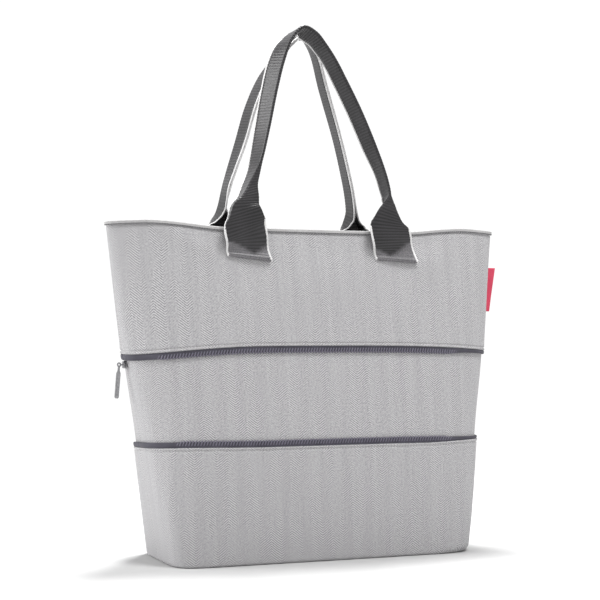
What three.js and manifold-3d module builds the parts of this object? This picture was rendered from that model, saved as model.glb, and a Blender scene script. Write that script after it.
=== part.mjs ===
// Expandable shopper bag that stands on its base, with its expansion zip open.
// Millimetres, +Z up, front at -Y, origin on the floor under the middle of the base.
import * as THREE from 'three';
import { mergeVertices } from 'three/addons/utils/BufferGeometryUtils.js';
import Module from 'manifold-3d';

const wasm = await Module();
wasm.setup();

// Driving dimensions
const WALL = 2;
const GAP = 0.3;
const BASE_THICKNESS = 2.5;
const RIM_LEVEL = 368;

// Facets: stations round a ring, levels of each panel, and how strongly corners draw stations in
const RING_STEPS = 60;
const PANEL_STEPS = { lower: 4, band: 4, upper: 9 };
const TURN_WEIGHT = 45;
const FINE_STEPS = 400;

// Cross-sections of the body from the floor to the rim. A section is the outline
// |x / halfWidth| ^ endPower + |y / halfDepth| ^ sidePower = 1 at its level, the height at the
// middle of the front, moved sideways by shift. Towards the ends it climbs by shoulder and bends
// by tip.
const SECTIONS = [
  { level: 0, halfWidth: 180, halfDepth: 72, endPower: 14, sidePower: 6, shift: 0, shoulder: 0, tip: 0 },
  { level: 132, halfWidth: 202, halfDepth: 66, endPower: 7, sidePower: 3.4, shift: 0, shoulder: 0, tip: -4 },
  { level: 234, halfWidth: 220, halfDepth: 52, endPower: 5, sidePower: 2.7, shift: 0, shoulder: 0, tip: -7 },
  { level: 368, halfWidth: 238, halfDepth: 29, endPower: 3, sidePower: 2, shift: -2, shoulder: 9, tip: -4 },
];
const SHOULDER_START = 0.4;
const SHOULDER_END = 0.85;

// Soft swells (depth above 0) and hollows (below 0) of the cloth under the rim.
// side is -1 on the front and 1 on the back, slant is mm of sideways drift for each mm downwards.
const DENTS = [
  { side: -1, x: -160, level: 354, reachX: 24, reachZ: 22, slant: 1.4, depth: 2.6 },
  { side: -1, x: -86, level: 318, reachX: 34, reachZ: 22, slant: 0, depth: -2.2 },
  { side: -1, x: 8, level: 338, reachX: 42, reachZ: 26, slant: 0, depth: 2.8 },
  { side: -1, x: 92, level: 316, reachX: 34, reachZ: 24, slant: 0, depth: -2.2 },
  { side: -1, x: 164, level: 344, reachX: 24, reachZ: 26, slant: -0.6, depth: 2.6 },
  { side: 1, x: -20, level: 336, reachX: 46, reachZ: 28, slant: 0, depth: 2.6 },
  { side: 1, x: 84, level: 316, reachX: 34, reachZ: 24, slant: 0, depth: -2.2 },
  { side: 1, x: -90, level: 318, reachX: 34, reachZ: 22, slant: 0, depth: -2.2 },
];

// Levels at which the lower and the upper half of the open zip are sewn on
const ZIP_TAPE = { height: 5.4, thickness: 1.2, inset: 0.5 };
const ZIP_TEETH = { height: 3, thickness: 2.2, inset: 0 };
const LOWER_SEAM = 127.2;
const UPPER_SEAM = 237.8;
const BAND_OVERLAP = 5;
const BAND_INSET = WALL + 0.8;
const HEM = { radius: 3, soleStart: 2.1, turn: 0.9 };
const BINDING = { height: 2.6, thickness: 1, corner: 0.6 };

// Webbing handles: flat straps sewn to the panels at both feet
const STRAP = { width: 50, thickness: 2, tightLoop: 1.4 };
const PATCH_BOTTOM = 334;
const FOOT = { drop: 4, clearance: 0.8, rimClearance: 1.7 };
const RIM_LIFT = { start: RIM_LEVEL - 14, end: RIM_LEVEL - 4 };

// Route of the strap's middle line from the left foot to the right foot. twist turns the
// folded strap about the upright, lean tips it over at the top, fold is the angle that each half
// is folded back, from 0, flat, to 90, closed like a book, and loop is the radius of the fold, at
// its tightest where none is given. Rows without y lie on the panel.
const FRONT_ROUTE = [
  { x: -85, z: PATCH_BOTTOM, twist: 0, lean: 0, fold: 0, loop: 14 },
  { x: -87, z: 352, twist: 0, lean: 0, fold: 0, loop: 14 },
  { x: -88, y: -43.5, z: 371, twist: 0, lean: 0, fold: 28, loop: 14 },
  { x: -87, y: -44, z: 381, twist: 0, lean: 0, fold: 42, loop: 13 },
  { x: -84, y: -42, z: 391, twist: 0, lean: 0, fold: 58, loop: 11 },
  { x: -80.5, y: -39, z: 403, twist: 0, lean: 0, fold: 76, loop: 7 },
  { x: -78, y: -36, z: 417, twist: 0, lean: 0, fold: 90, loop: 3 },
  { x: -70, y: -34, z: 446, twist: 8, lean: 0, fold: 90 },
  { x: -60, y: -31, z: 483, twist: 12, lean: 0, fold: 90 },
  { x: -50, y: -28, z: 525, twist: 10, lean: 2, fold: 90 },
  { x: -40.5, y: -26, z: 559, twist: 6, lean: 8, fold: 90 },
  { x: -31, y: -25, z: 583, twist: 2, lean: 18, fold: 90 },
  { x: -16, y: -24.5, z: 599.5, twist: 0, lean: 25, fold: 90 },
  { x: -1, y: -24.5, z: 594, twist: 2, lean: 24, fold: 90 },
  { x: 11, y: -25, z: 580.5, twist: 6, lean: 18, fold: 90 },
  { x: 23, y: -25.5, z: 563.5, twist: 11, lean: 8, fold: 90 },
  { x: 33, y: -26.5, z: 545.5, twist: 15, lean: 2, fold: 90 },
  { x: 52, y: -29.5, z: 508, twist: 17, lean: 0, fold: 90 },
  { x: 68, y: -32.5, z: 470.5, twist: 15, lean: 0, fold: 90 },
  { x: 83.5, y: -35, z: 421, twist: 0, lean: 0, fold: 90 },
  { x: 88.5, y: -38.5, z: 402, twist: 0, lean: 0, fold: 86, loop: 5 },
  { x: 89.5, y: -42.5, z: 388, twist: 0, lean: 0, fold: 62, loop: 10 },
  { x: 88.5, y: -43.5, z: 379, twist: 0, lean: 0, fold: 36, loop: 13 },
  { x: 89, y: -42, z: 371, twist: 0, lean: 0, fold: 22, loop: 14 },
  { x: 93.5, z: 352, twist: 0, lean: 0, fold: 0, loop: 14 },
  { x: 97, z: PATCH_BOTTOM, twist: 0, lean: 0, fold: 0, loop: 14 },
];
const BACK_ROUTE = [
  { x: -94, z: PATCH_BOTTOM, twist: 0, lean: 0, fold: 0, loop: 14 },
  { x: -94, z: 352, twist: 0, lean: 0, fold: 0, loop: 14 },
  { x: -94, y: 46, z: 372, twist: 0, lean: 0, fold: 44, loop: 14 },
  { x: -93.8, y: 45, z: 380, twist: 0, lean: 0, fold: 66, loop: 9 },
  { x: -93.6, y: 42, z: 388, twist: 0, lean: 0, fold: 84, loop: 6 },
  { x: -94.5, y: 38.5, z: 400, twist: 0, lean: 0, fold: 92, loop: 3 },
  { x: -93.5, y: 35.8, z: 416, twist: 2, lean: 0, fold: 90 },
  { x: -88, y: 34, z: 438, twist: 6, lean: 0, fold: 90 },
  { x: -78.5, y: 32, z: 471, twist: 12, lean: 0, fold: 90 },
  { x: -67, y: 29.5, z: 512, twist: 12, lean: 2, fold: 90 },
  { x: -54, y: 27.5, z: 545, twist: 8, lean: 8, fold: 90 },
  { x: -40.5, y: 26, z: 569.5, twist: 4, lean: 16, fold: 90 },
  { x: -29, y: 25, z: 587.5, twist: 0, lean: 22, fold: 90 },
  { x: -17, y: 24.5, z: 598.5, twist: 0, lean: 25, fold: 90 },
  { x: -6, y: 24.5, z: 592, twist: 0, lean: 24, fold: 90 },
  { x: 1, y: 25, z: 583.5, twist: 0, lean: 18, fold: 90 },
  { x: 9.5, y: 25.5, z: 571.5, twist: 0, lean: 12, fold: 90 },
  { x: 23.5, y: 27.5, z: 539.5, twist: 0, lean: 2, fold: 90 },
  { x: 45, y: 32, z: 476.5, twist: -2, lean: 0, fold: 90 },
  { x: 59, y: 35.5, z: 424, twist: 0, lean: 0, fold: 90 },
  { x: 65, y: 38.5, z: 398, twist: 0, lean: 0, fold: 92, loop: 3 },
  { x: 68, y: 42, z: 388, twist: 0, lean: 0, fold: 94, loop: 6 },
  { x: 70, y: 45, z: 380, twist: 0, lean: 0, fold: 72, loop: 9 },
  { x: 71, y: 46, z: 372, twist: 0, lean: 0, fold: 46, loop: 14 },
  { x: 71.5, z: 352, twist: 0, lean: 0, fold: 0, loop: 14 },
  { x: 71.5, z: PATCH_BOTTOM, twist: 0, lean: 0, fold: 0, loop: 14 },
];

// Zip slider at the left end: a tapered block with a crown bar along Y that carries the pull
const SLIDER = { length: 11, height: 8.4, thickness: 3.4, top: 221.4, inner: -217.4, flat: 6, nose: 5.2 };
const CROWN = { span: 9.4, bar: 1.7, reach: 3.8, corner: 0.85, sunk: 0.5 };
const PULL = { width: 4, thickness: 2.4, length: 37, eyeRadius: 3.1, holeRadius: 1.7, tilt: 4.5, sides: 8 };

// Folded ribbon label in the right side seam
const LABEL = { bottom: 282, top: 329.5, reachBottom: 9, reachTop: 11.4, thickness: 1.2 };

const SIDE_FRONT = -1;
const SIDE_BACK = 1;
const radians = THREE.MathUtils.degToRad;

// Smooth curve through one column of a table, read at a value of its key column
function readColumn(rows, key, column, at) {
  const last = rows.length - 1;
  const clamped = THREE.MathUtils.clamp(at, rows[0][key], rows[last][key]);
  let i = 0;
  while (i < last - 1 && clamped > rows[i + 1][key]) i++;
  const slope = (a, b) => (rows[b][column] - rows[a][column]) / (rows[b][key] - rows[a][key]);
  const span = rows[i + 1][key] - rows[i][key];
  const startSlope = slope(Math.max(i - 1, 0), i + 1);
  const endSlope = slope(i, Math.min(i + 2, last));
  const t = (clamped - rows[i][key]) / span;
  const near = (1 + 2 * t) * (1 - t) ** 2 * rows[i][column] + t * (1 - t) ** 2 * span * startSlope;
  const far = t * t * (3 - 2 * t) * rows[i + 1][column] + t * t * (t - 1) * span * endSlope;
  return near + far;
}

function sectionAt(level) {
  const columns = Object.keys(SECTIONS[0]).filter((column) => column !== 'level');
  const values = columns.map((column) => [column, readColumn(SECTIONS, 'level', column, level)]);
  return Object.fromEntries(values);
}

// One quarter of a section, from its end (halfWidth, 0) to its side (0, halfDepth), with points
// closer together where the outline turns
function quarterOutline({ halfWidth, halfDepth, endPower, sidePower }) {
  const fine = [];
  for (let i = 0; i <= FINE_STEPS; i++) {
    const angle = (i / FINE_STEPS) * (Math.PI / 2);
    const x = halfWidth * Math.max(Math.cos(angle), 0) ** (2 / endPower);
    const y = halfDepth * Math.sin(angle) ** (2 / sidePower);
    fine.push(new THREE.Vector2(i === FINE_STEPS ? 0 : x, y));
  }
  const heading = (i) => fine[i + 1].clone().sub(fine[i]).angle();
  const measure = [0];
  for (let i = 1; i < fine.length; i++) {
    const turn = i > 1 ? Math.abs(heading(i - 1) - heading(i - 2)) : 0;
    measure.push(measure[i - 1] + fine[i].distanceTo(fine[i - 1]) + TURN_WEIGHT * turn);
  }
  const steps = RING_STEPS / 4;
  const points = [];
  let j = 0;
  for (let i = 0; i <= steps; i++) {
    const target = (measure.at(-1) * i) / steps;
    while (j < fine.length - 2 && measure[j + 1] < target) j++;
    const t = (target - measure[j]) / (measure[j + 1] - measure[j]);
    points.push(fine[j].clone().lerp(fine[j + 1], THREE.MathUtils.clamp(t, 0, 1)));
  }
  return points;
}

// The whole outline, anticlockwise from the +X end, with its outward directions
const rings = new Map();
function ringAt(level) {
  if (rings.has(level)) return rings.get(level);
  const section = sectionAt(level);
  const quarter = quarterOutline(section);
  const forward = quarter.slice(0, -1);
  const backward = quarter.slice(1).reverse();
  const mirrored = (list, sx, sy) => list.map((p) => new THREE.Vector2(p.x * sx, p.y * sy));
  const centred = [
    ...mirrored(forward, 1, 1),
    ...mirrored(backward, -1, 1),
    ...mirrored(forward, -1, -1),
    ...mirrored(backward, 1, -1),
  ];
  const points = centred.map((p) => new THREE.Vector2(p.x + section.shift, p.y));
  const outward = points.map((_, i) => {
    const ahead = points[(i + 1) % points.length];
    const behind = points[(i + points.length - 1) % points.length];
    return new THREE.Vector2(ahead.y - behind.y, behind.x - ahead.x).normalize();
  });
  const ring = { section, points, outward };
  rings.set(level, ring);
  return ring;
}

function dentAt(x, y, level) {
  let depth = 0;
  for (const dent of DENTS) {
    if (Math.sign(y) !== dent.side) continue;
    const across = (x - dent.x - dent.slant * (dent.level - level)) / dent.reachX;
    const down = (level - dent.level) / dent.reachZ;
    depth += dent.depth * Math.exp(-across * across - down * down);
  }
  return depth;
}

function riseAt(section, x) {
  const share = Math.min(Math.abs(x - section.shift) / section.halfWidth, 1);
  const climb = THREE.MathUtils.smoothstep(share, SHOULDER_START, SHOULDER_END);
  return section.shoulder * climb + section.tip * share ** 3;
}

// A point of the body at one of the ring's stations, pushed outwards by offset
function bodyPoint(level, station, offset) {
  const { section, points, outward } = ringAt(level);
  const p = points[station];
  const push = offset + dentAt(p.x, p.y, level);
  const out = outward[station];
  return new THREE.Vector3(p.x + out.x * push, p.y + out.y * push, level + riseAt(section, p.x));
}

// How far the panel stands out from the middle of the bag at x
function panelReach(x, level, side) {
  const { halfWidth, halfDepth, endPower, sidePower, shift } = sectionAt(level);
  const reach = halfDepth * (1 - Math.abs((x - shift) / halfWidth) ** endPower) ** (1 / sidePower);
  return reach + dentAt(x, side, level);
}

function solidFrom(points, triangles) {
  const geometry = new THREE.BufferGeometry();
  geometry.setAttribute('position', new THREE.Float32BufferAttribute(points.flatMap((p) => p.toArray()), 3));
  geometry.setIndex(triangles);
  geometry.computeVertexNormals();
  return geometry;
}

// A closed ring round the body. The profile runs up the outside and down the inside.
function ringSolid(profile) {
  const count = profile.length;
  const points = [];
  for (let station = 0; station < RING_STEPS; station++) {
    for (const { level, offset } of profile) points.push(bodyPoint(level, station, offset));
  }
  const triangles = [];
  for (let station = 0; station < RING_STEPS; station++) {
    const next = (station + 1) % RING_STEPS;
    for (let i = 0; i < count; i++) {
      const above = (i + 1) % count;
      const [a, b] = [station * count + i, next * count + i];
      const [c, d] = [next * count + above, station * count + above];
      triangles.push(a, b, c, a, c, d);
    }
  }
  return solidFrom(points, triangles);
}

const levelsBetween = (bottom, top, steps) =>
  Array.from({ length: steps + 1 }, (_, i) => THREE.MathUtils.lerp(bottom, top, i / steps));

function wallRing(bottom, top, steps, offset, thickness) {
  const levels = levelsBetween(bottom, top, steps);
  const outside = levels.map((level) => ({ level, offset }));
  const inside = levels.map((level) => ({ level, offset: offset - thickness })).reverse();
  return ringSolid([...outside, ...inside]);
}

function lowerBody() {
  const levels = levelsBetween(HEM.radius, LOWER_SEAM, PANEL_STEPS.lower);
  const outside = levels.map((level) => ({ level, offset: 0 }));
  const inside = levels.map((level) => ({ level, offset: -WALL })).reverse();
  const turnedHem = [
    { level: 0, offset: -HEM.radius - WALL },
    { level: 0, offset: -HEM.soleStart },
    { level: HEM.turn, offset: -HEM.turn },
  ];
  return ringSolid([...turnedHem, ...outside, ...inside]);
}

// Stiff floor of the bag, inside the turned hem of the lower body
function basePanel() {
  const { points, outward } = ringAt(0);
  const inset = HEM.radius + WALL + GAP;
  const layer = (z) => points.map((p, i) => {
    const edge = p.clone().addScaledVector(outward[i], -inset);
    return new THREE.Vector3(edge.x, edge.y, z);
  });
  const centres = [new THREE.Vector3(0, 0, 0), new THREE.Vector3(0, 0, BASE_THICKNESS)];
  const triangles = [];
  const [under, over] = [2 * RING_STEPS, 2 * RING_STEPS + 1];
  for (let i = 0; i < RING_STEPS; i++) {
    const next = (i + 1) % RING_STEPS;
    const [a, b, c, d] = [i, next, next + RING_STEPS, i + RING_STEPS];
    triangles.push(a, b, c, a, c, d, under, b, a, over, d, c);
  }
  return solidFrom([...layer(0), ...layer(BASE_THICKNESS), ...centres], triangles);
}

// Bound edge of the mouth: a folded strip over the top of the upper panels
function rimBinding() {
  const outer = GAP + BINDING.thickness;
  const inner = -WALL - GAP - BINDING.thickness;
  const foot = RIM_LEVEL - BINDING.height;
  const seat = RIM_LEVEL + GAP;
  const top = seat + BINDING.thickness;
  const { corner } = BINDING;
  return ringSolid([
    { level: foot, offset: outer },
    { level: top - corner, offset: outer },
    { level: top, offset: outer - corner },
    { level: top, offset: inner + corner },
    { level: top - corner, offset: inner },
    { level: foot, offset: inner },
    { level: foot, offset: -WALL - GAP },
    { level: seat, offset: -WALL - GAP },
    { level: seat, offset: GAP },
    { level: foot, offset: GAP },
  ]);
}

// A thin solid between two grids of points of the same size, outer and inner
function slabSolid(outer, inner) {
  const rows = outer.length;
  const columns = outer[0].length;
  const points = [...outer.flat(), ...inner.flat()];
  const lower = rows * columns;
  const at = (row, column) => row * columns + column;
  const triangles = [];
  const quad = (a, b, c, d) => triangles.push(a, b, c, a, c, d);
  for (let row = 0; row < rows - 1; row++) {
    for (let column = 0; column < columns - 1; column++) {
      const [a, b] = [at(row, column), at(row, column + 1)];
      const [c, d] = [at(row + 1, column + 1), at(row + 1, column)];
      quad(a, b, c, d);
      quad(d + lower, c + lower, b + lower, a + lower);
    }
    const last = columns - 1;
    quad(at(row, 0), at(row + 1, 0), at(row + 1, 0) + lower, at(row, 0) + lower);
    quad(at(row + 1, last), at(row, last), at(row, last) + lower, at(row + 1, last) + lower);
  }
  for (let column = 0; column < columns - 1; column++) {
    const far = rows - 1;
    quad(at(0, column + 1), at(0, column), at(0, column) + lower, at(0, column + 1) + lower);
    quad(at(far, column), at(far, column + 1), at(far, column + 1) + lower, at(far, column) + lower);
  }
  return solidFrom(points, triangles);
}

// Middle of the strap where it lies on the panel: clear of the cloth a little below, where the
// panel stands out more, and lifted over the bound rim
function footReach(x, z, side) {
  const half = STRAP.width / 2;
  const level = Math.min(z, RIM_LEVEL) - FOOT.drop;
  const panel = Math.max(...[-half, 0, half].map((dx) => panelReach(x + dx, level, side)));
  const overRim = THREE.MathUtils.smoothstep(z, RIM_LIFT.start, RIM_LIFT.end);
  const clearance = THREE.MathUtils.lerp(FOOT.clearance, FOOT.rimClearance, overRim);
  return panel + clearance + STRAP.thickness / 2;
}

// Stations along a handle: place, direction from the fold to the open edges, side
// direction, angle and radius of the fold
function handleStations(route, side) {
  const knots = route.map((row) => {
    const y = row.y ?? side * footReach(row.x, row.z, side);
    return new THREE.Vector3(row.x, y, row.z);
  });
  const curve = new THREE.CatmullRomCurve3(knots, false, 'centripetal');
  const rows = route.map((row, i) => ({ loop: STRAP.tightLoop, ...row, at: i }));
  const last = route.length - 1;
  const stations = [];
  for (let at = 0; at <= last; at += 0.5) {
    const [twist, lean] = ['twist', 'lean'].map((column) => radians(readColumn(rows, 'at', column, at)));
    const fold = radians(Math.max(readColumn(rows, 'at', 'fold', at), 0));
    const loop = Math.max(readColumn(rows, 'at', 'loop', at), STRAP.tightLoop);
    const along = curve.getTangent(at / last);
    const inward = new THREE.Vector3(
      side * Math.sin(twist) * Math.cos(lean),
      -side * Math.cos(twist) * Math.cos(lean),
      -Math.sin(lean),
    );
    inward.addScaledVector(along, -inward.dot(along)).normalize();
    const across = inward.clone().cross(along);
    stations.push({ place: curve.getPoint(at / last), inward, across, fold, loop });
  }
  return stations;
}

// A point of the strap at a signed distance from its middle line, raised off its middle layer
function strapPoint({ place, inward, across, fold, loop }, distance, raise) {
  const hand = Math.sign(distance);
  const bend = Math.min(Math.abs(distance) / loop, fold);
  const straight = Math.abs(distance) - loop * bend;
  const sideways = hand * (loop * Math.sin(bend) + straight * Math.cos(fold) + raise * Math.sin(bend));
  const back = loop * (1 - Math.cos(bend)) + straight * Math.sin(fold) - raise * Math.cos(bend);
  return place.clone().addScaledVector(across, sideways).addScaledVector(inward, back);
}

// The strap itself, with its columns closest together where it folds
function strapSolid(stations) {
  const edge = STRAP.width / 2;
  const layer = (raise) => stations.map((station) => {
    const bend = station.loop * Math.max(station.fold, Math.PI / 2);
    const distances = [-edge, -bend, -bend / 2, 0, bend / 2, bend, edge];
    return distances.map((distance) => strapPoint(station, distance, raise));
  });
  return slabSolid(layer(STRAP.thickness / 2), layer(-STRAP.thickness / 2));
}

function asManifold(geometry) {
  const bare = geometry.clone();
  bare.deleteAttribute('normal');
  bare.deleteAttribute('uv');
  const merged = mergeVertices(bare);
  const mesh = new wasm.Mesh({
    numProp: 3,
    vertProperties: new Float32Array(merged.attributes.position.array),
    triVerts: new Uint32Array(merged.index.array),
  });
  return new wasm.Manifold(mesh);
}

function asGeometry(manifold) {
  const { vertProperties, triVerts } = manifold.getMesh();
  const geometry = new THREE.BufferGeometry();
  geometry.setAttribute('position', new THREE.Float32BufferAttribute(vertProperties, 3));
  geometry.setIndex([...triVerts]);
  geometry.computeVertexNormals();
  return geometry;
}

// Slider in its own frame: X outwards from the bag, Y along the zip, Z up, zero at its inner face
function sliderSolid() {
  const [length, height] = [SLIDER.length / 2, SLIDER.height / 2];
  const [flat, nose] = [SLIDER.flat / 2, SLIDER.nose / 2];
  const face = new THREE.Shape([
    new THREE.Vector2(-length, -nose),
    new THREE.Vector2(-flat, -height),
    new THREE.Vector2(flat, -height),
    new THREE.Vector2(length, -nose),
    new THREE.Vector2(length, nose),
    new THREE.Vector2(flat, height),
    new THREE.Vector2(-flat, height),
    new THREE.Vector2(-length, nose),
  ]);
  const block = new THREE.ExtrudeGeometry(face, { depth: SLIDER.thickness, bevelEnabled: false });
  const upright = new THREE.Matrix4().makeBasis(
    new THREE.Vector3(0, 1, 0), new THREE.Vector3(0, 0, 1), new THREE.Vector3(1, 0, 0),
  );
  block.applyMatrix4(upright);
  const { bar, corner } = CROWN;
  const side = CROWN.span / 2;
  const root = SLIDER.thickness - CROWN.sunk;
  const out = SLIDER.thickness + CROWN.reach + bar / 2;
  const arch = new THREE.Shape([
    new THREE.Vector2(root, -side),
    new THREE.Vector2(out - corner, -side),
    new THREE.Vector2(out, -side + corner),
    new THREE.Vector2(out, side - corner),
    new THREE.Vector2(out - corner, side),
    new THREE.Vector2(root, side),
    new THREE.Vector2(root, side - bar),
    new THREE.Vector2(out - bar, side - bar),
    new THREE.Vector2(out - bar, -side + bar),
    new THREE.Vector2(root, -side + bar),
  ]);
  const crown = new THREE.ExtrudeGeometry(arch, { depth: bar, bevelEnabled: false });
  crown.translate(0, 0, -bar / 2);
  return asGeometry(asManifold(block).add(asManifold(crown)));
}

// Pull in its own frame: eye centred on the crown bar, stick hanging down along -Z, bar along Y
function pullSolid() {
  const [w, r] = [PULL.width / 2, PULL.eyeRadius];
  const neck = Math.asin(w / r);
  const outline = new THREE.Shape();
  outline.absarc(0, 0, r, neck - Math.PI / 2, 1.5 * Math.PI - neck, false);
  outline.lineTo(-w, -PULL.length + w);
  outline.absarc(0, -PULL.length + w, w, Math.PI, 2 * Math.PI, false);
  outline.closePath();
  const hole = new THREE.Path();
  hole.absarc(0, 0, PULL.holeRadius, 0, 2 * Math.PI, true);
  outline.holes.push(hole);
  const options = { depth: PULL.thickness, bevelEnabled: false, curveSegments: PULL.sides };
  const geometry = new THREE.ExtrudeGeometry(outline, options);
  geometry.translate(0, 0, -PULL.thickness / 2);
  return geometry.rotateX(Math.PI / 2);
}

// Label: leaves the right side seam and follows its slope
function labelSolid() {
  const rows = [
    { level: LABEL.bottom, reach: LABEL.reachBottom },
    { level: (LABEL.bottom + LABEL.top) / 2, reach: (LABEL.reachBottom + LABEL.reachTop) / 2 },
    { level: LABEL.top, reach: LABEL.reachTop },
  ];
  const layer = (y) => rows.map(({ level, reach }) => {
    const root = bodyPoint(level, 0, GAP).setY(y);
    return [root, root.clone().setX(root.x + reach)];
  });
  return slabSolid(layer(-LABEL.thickness / 2), layer(LABEL.thickness / 2));
}

// Finishes
const cloth = new THREE.MeshStandardMaterial({ color: 0xbdbdbc, roughness: 0.9, metalness: 0 });
const lightTrim = new THREE.MeshStandardMaterial({ color: 0xd6d6d4, roughness: 0.85, metalness: 0 });
const webbingFabric = new THREE.MeshStandardMaterial({ color: 0x4a484c, roughness: 0.85, metalness: 0 });
const zipFabric = new THREE.MeshStandardMaterial({ color: 0x4f4d5a, roughness: 0.8, metalness: 0 });
const zipPlastic = new THREE.MeshStandardMaterial({ color: 0x55535f, roughness: 0.45, metalness: 0 });
const gunmetal = new THREE.MeshStandardMaterial({ color: 0x6a6a70, roughness: 0.35, metalness: 0.9 });
const labelRibbon = new THREE.MeshStandardMaterial({ color: 0xc8435a, roughness: 0.7, metalness: 0 });

const bag = new THREE.Group();

function addPiece(name, geometry, material, parent = bag) {
  const mesh = new THREE.Mesh(geometry, material);
  mesh.name = name;
  parent.add(mesh);
  return mesh;
}

// Body panels and the bound mouth
addPiece('base_panel', basePanel(), cloth);
addPiece('lower_body', lowerBody(), cloth);
const band = { bottom: LOWER_SEAM - BAND_OVERLAP, top: UPPER_SEAM + BAND_OVERLAP };
addPiece('middle_band', wallRing(band.bottom, band.top, PANEL_STEPS.band, -BAND_INSET, WALL), cloth);
addPiece('upper_body', wallRing(UPPER_SEAM, RIM_LEVEL, PANEL_STEPS.upper, 0, WALL), cloth);
addPiece('rim_binding', rimBinding(), lightTrim);

// The two halves of the open zip: tape sewn to the panel, teeth along its free edge
for (const [half, seam, away] of [['lower', LOWER_SEAM, 1], ['upper', UPPER_SEAM, -1]]) {
  const strip = (start, { height, thickness, inset }) => {
    const ends = [seam + away * start, seam + away * (start + height)].sort((a, b) => a - b);
    return wallRing(ends[0], ends[1], 1, -inset, thickness);
  };
  addPiece(`zip_tape_${half}`, strip(GAP, ZIP_TAPE), zipFabric);
  addPiece(`zip_teeth_${half}`, strip(ZIP_TAPE.height + 2 * GAP, ZIP_TEETH), zipPlastic);
}

// Slider and pull at the left end
const slider = new THREE.Group();
slider.position.set(SLIDER.inner, 0, SLIDER.top - SLIDER.height / 2);
slider.rotation.z = Math.PI;
bag.add(slider);
addPiece('zip_slider', sliderSolid(), gunmetal, slider);
const pull = new THREE.Group();
pull.position.x = SLIDER.thickness + CROWN.reach;
pull.rotation.y = -radians(PULL.tilt);
slider.add(pull);
addPiece('zip_pull', pullSolid(), gunmetal, pull);

// Handles
addPiece('front_handle', strapSolid(handleStations(FRONT_ROUTE, SIDE_FRONT)), webbingFabric);
addPiece('back_handle', strapSolid(handleStations(BACK_ROUTE, SIDE_BACK)), webbingFabric);

addPiece('side_label', labelSolid(), labelRibbon);

export default bag;
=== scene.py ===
"""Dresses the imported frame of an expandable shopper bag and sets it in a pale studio.

The bag stands on its base: herringbone cloth walls, an open expansion zip with its teeth, slider
and pull, folded webbing handles with pale edges, a bound mouth and a blank side label. The bag's
sizes are in millimetres and turn to metres where a mesh is made. +Z is up, -Y the front, +X the
label end, -X the slider end.
"""

import logging
import math
from collections.abc import Callable, Iterable, Iterator, Mapping, Sequence
from contextlib import contextmanager
from dataclasses import dataclass, field, fields
from enum import Enum
from functools import partial

import bmesh
import bpy
import numpy as np
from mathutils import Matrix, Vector

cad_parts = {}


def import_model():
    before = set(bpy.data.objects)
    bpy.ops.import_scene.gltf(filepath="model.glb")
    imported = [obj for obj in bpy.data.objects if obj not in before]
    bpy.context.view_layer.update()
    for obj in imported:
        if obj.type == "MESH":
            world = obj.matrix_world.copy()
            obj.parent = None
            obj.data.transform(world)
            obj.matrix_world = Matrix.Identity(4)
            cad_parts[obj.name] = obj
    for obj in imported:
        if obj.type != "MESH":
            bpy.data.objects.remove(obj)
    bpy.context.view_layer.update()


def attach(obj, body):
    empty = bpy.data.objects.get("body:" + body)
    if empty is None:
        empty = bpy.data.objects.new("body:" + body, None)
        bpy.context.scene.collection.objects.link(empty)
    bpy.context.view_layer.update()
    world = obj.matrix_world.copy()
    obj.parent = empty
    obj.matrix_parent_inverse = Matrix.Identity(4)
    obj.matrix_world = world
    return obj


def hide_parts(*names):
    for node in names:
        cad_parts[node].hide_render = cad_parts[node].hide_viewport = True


Array = np.ndarray
Faces = list[tuple[int, ...]]
Pair = tuple[float, float]
Place = tuple[float, float, float]
Piece = bpy.types.Object
Material = bpy.types.Material
Socket = bpy.types.NodeSocket

log = logging.getLogger("shopper_bag")

MM = 0.001
TURN = 2 * math.pi
WEAVE = "weave"
# Attribute that marks where the webbing gets its painted highlight
PAINTED_HIGHLIGHT = "pressed"

# Thickness of the cloth, clearance between layers, and levels of the mouth and of both zip seams
WALL = 2.0
GAP = 0.3
RIM_LEVEL = 368.0
LOWER_SEAM = 127.2
UPPER_SEAM = 237.8
# How far to either side a line is read to find its direction
PROBE = 1.0

# Kinds of node, their settings, and the numbers of a colour mix's sockets
MATH, NOISE, MIX = "ShaderNodeMath", "ShaderNodeTexNoise", "ShaderNodeMix"
MAP_RANGE, BUMP = "ShaderNodeMapRange", "ShaderNodeBump"
ADD, MULTIPLY, MULTIPLY_ADD, SINE, ZIGZAG = (
    {"operation": name} for name in ("ADD", "MULTIPLY", "MULTIPLY_ADD", "SINE", "PINGPONG")
)
CLAMPED = {"use_clamp": True}
EASED = {"interpolation_type": "SMOOTHSTEP"}
FLAT_NOISE = {"noise_dimensions": "2D"}
COLOURS = {"data_type": "RGBA"}
MIX_SHARE, MIX_DARK, MIX_LIGHT, MIX_RESULT = 0, 6, 7, 2


class Body(Enum):
    """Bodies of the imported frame."""

    BAG = "bag"
    PULL = "pull"


class Slot(Enum):
    """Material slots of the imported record."""

    CLOTH = "herringbone_cloth"
    TRIM = "pale_binding"
    TAPE = "zip_tape"
    TEETH = "zip_coil"
    METAL = "gunmetal"
    WEBBING = "webbing"
    LABEL = "label_ribbon"


class Side(Enum):
    """Front or back of the bag, as the sign of Y."""

    FRONT = -1
    BACK = 1


class Edge(Enum):
    """How a cloth wall ends at its top or bottom."""

    HEM = "turned under the floor"
    FOLD = "folded back beside the zip"
    BOUND = "under the rim binding"
    PLAIN = "out of sight"


def linear(colour: str) -> tuple[float, float, float, float]:
    """Turns an sRGB hex colour into linear RGBA.

    Args:
        colour: Hex colour such as "#c9c8c9".

    Returns:
        Linear red, green, blue and an alpha of 1.
    """
    parts = [int(colour[i:i + 2], 16) / 255 for i in (1, 3, 5)]
    red, green, blue = (p / 12.92 if p <= 0.04045 else ((p + 0.055) / 1.055) ** 2.4 for p in parts)
    return red, green, blue, 1.0


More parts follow.
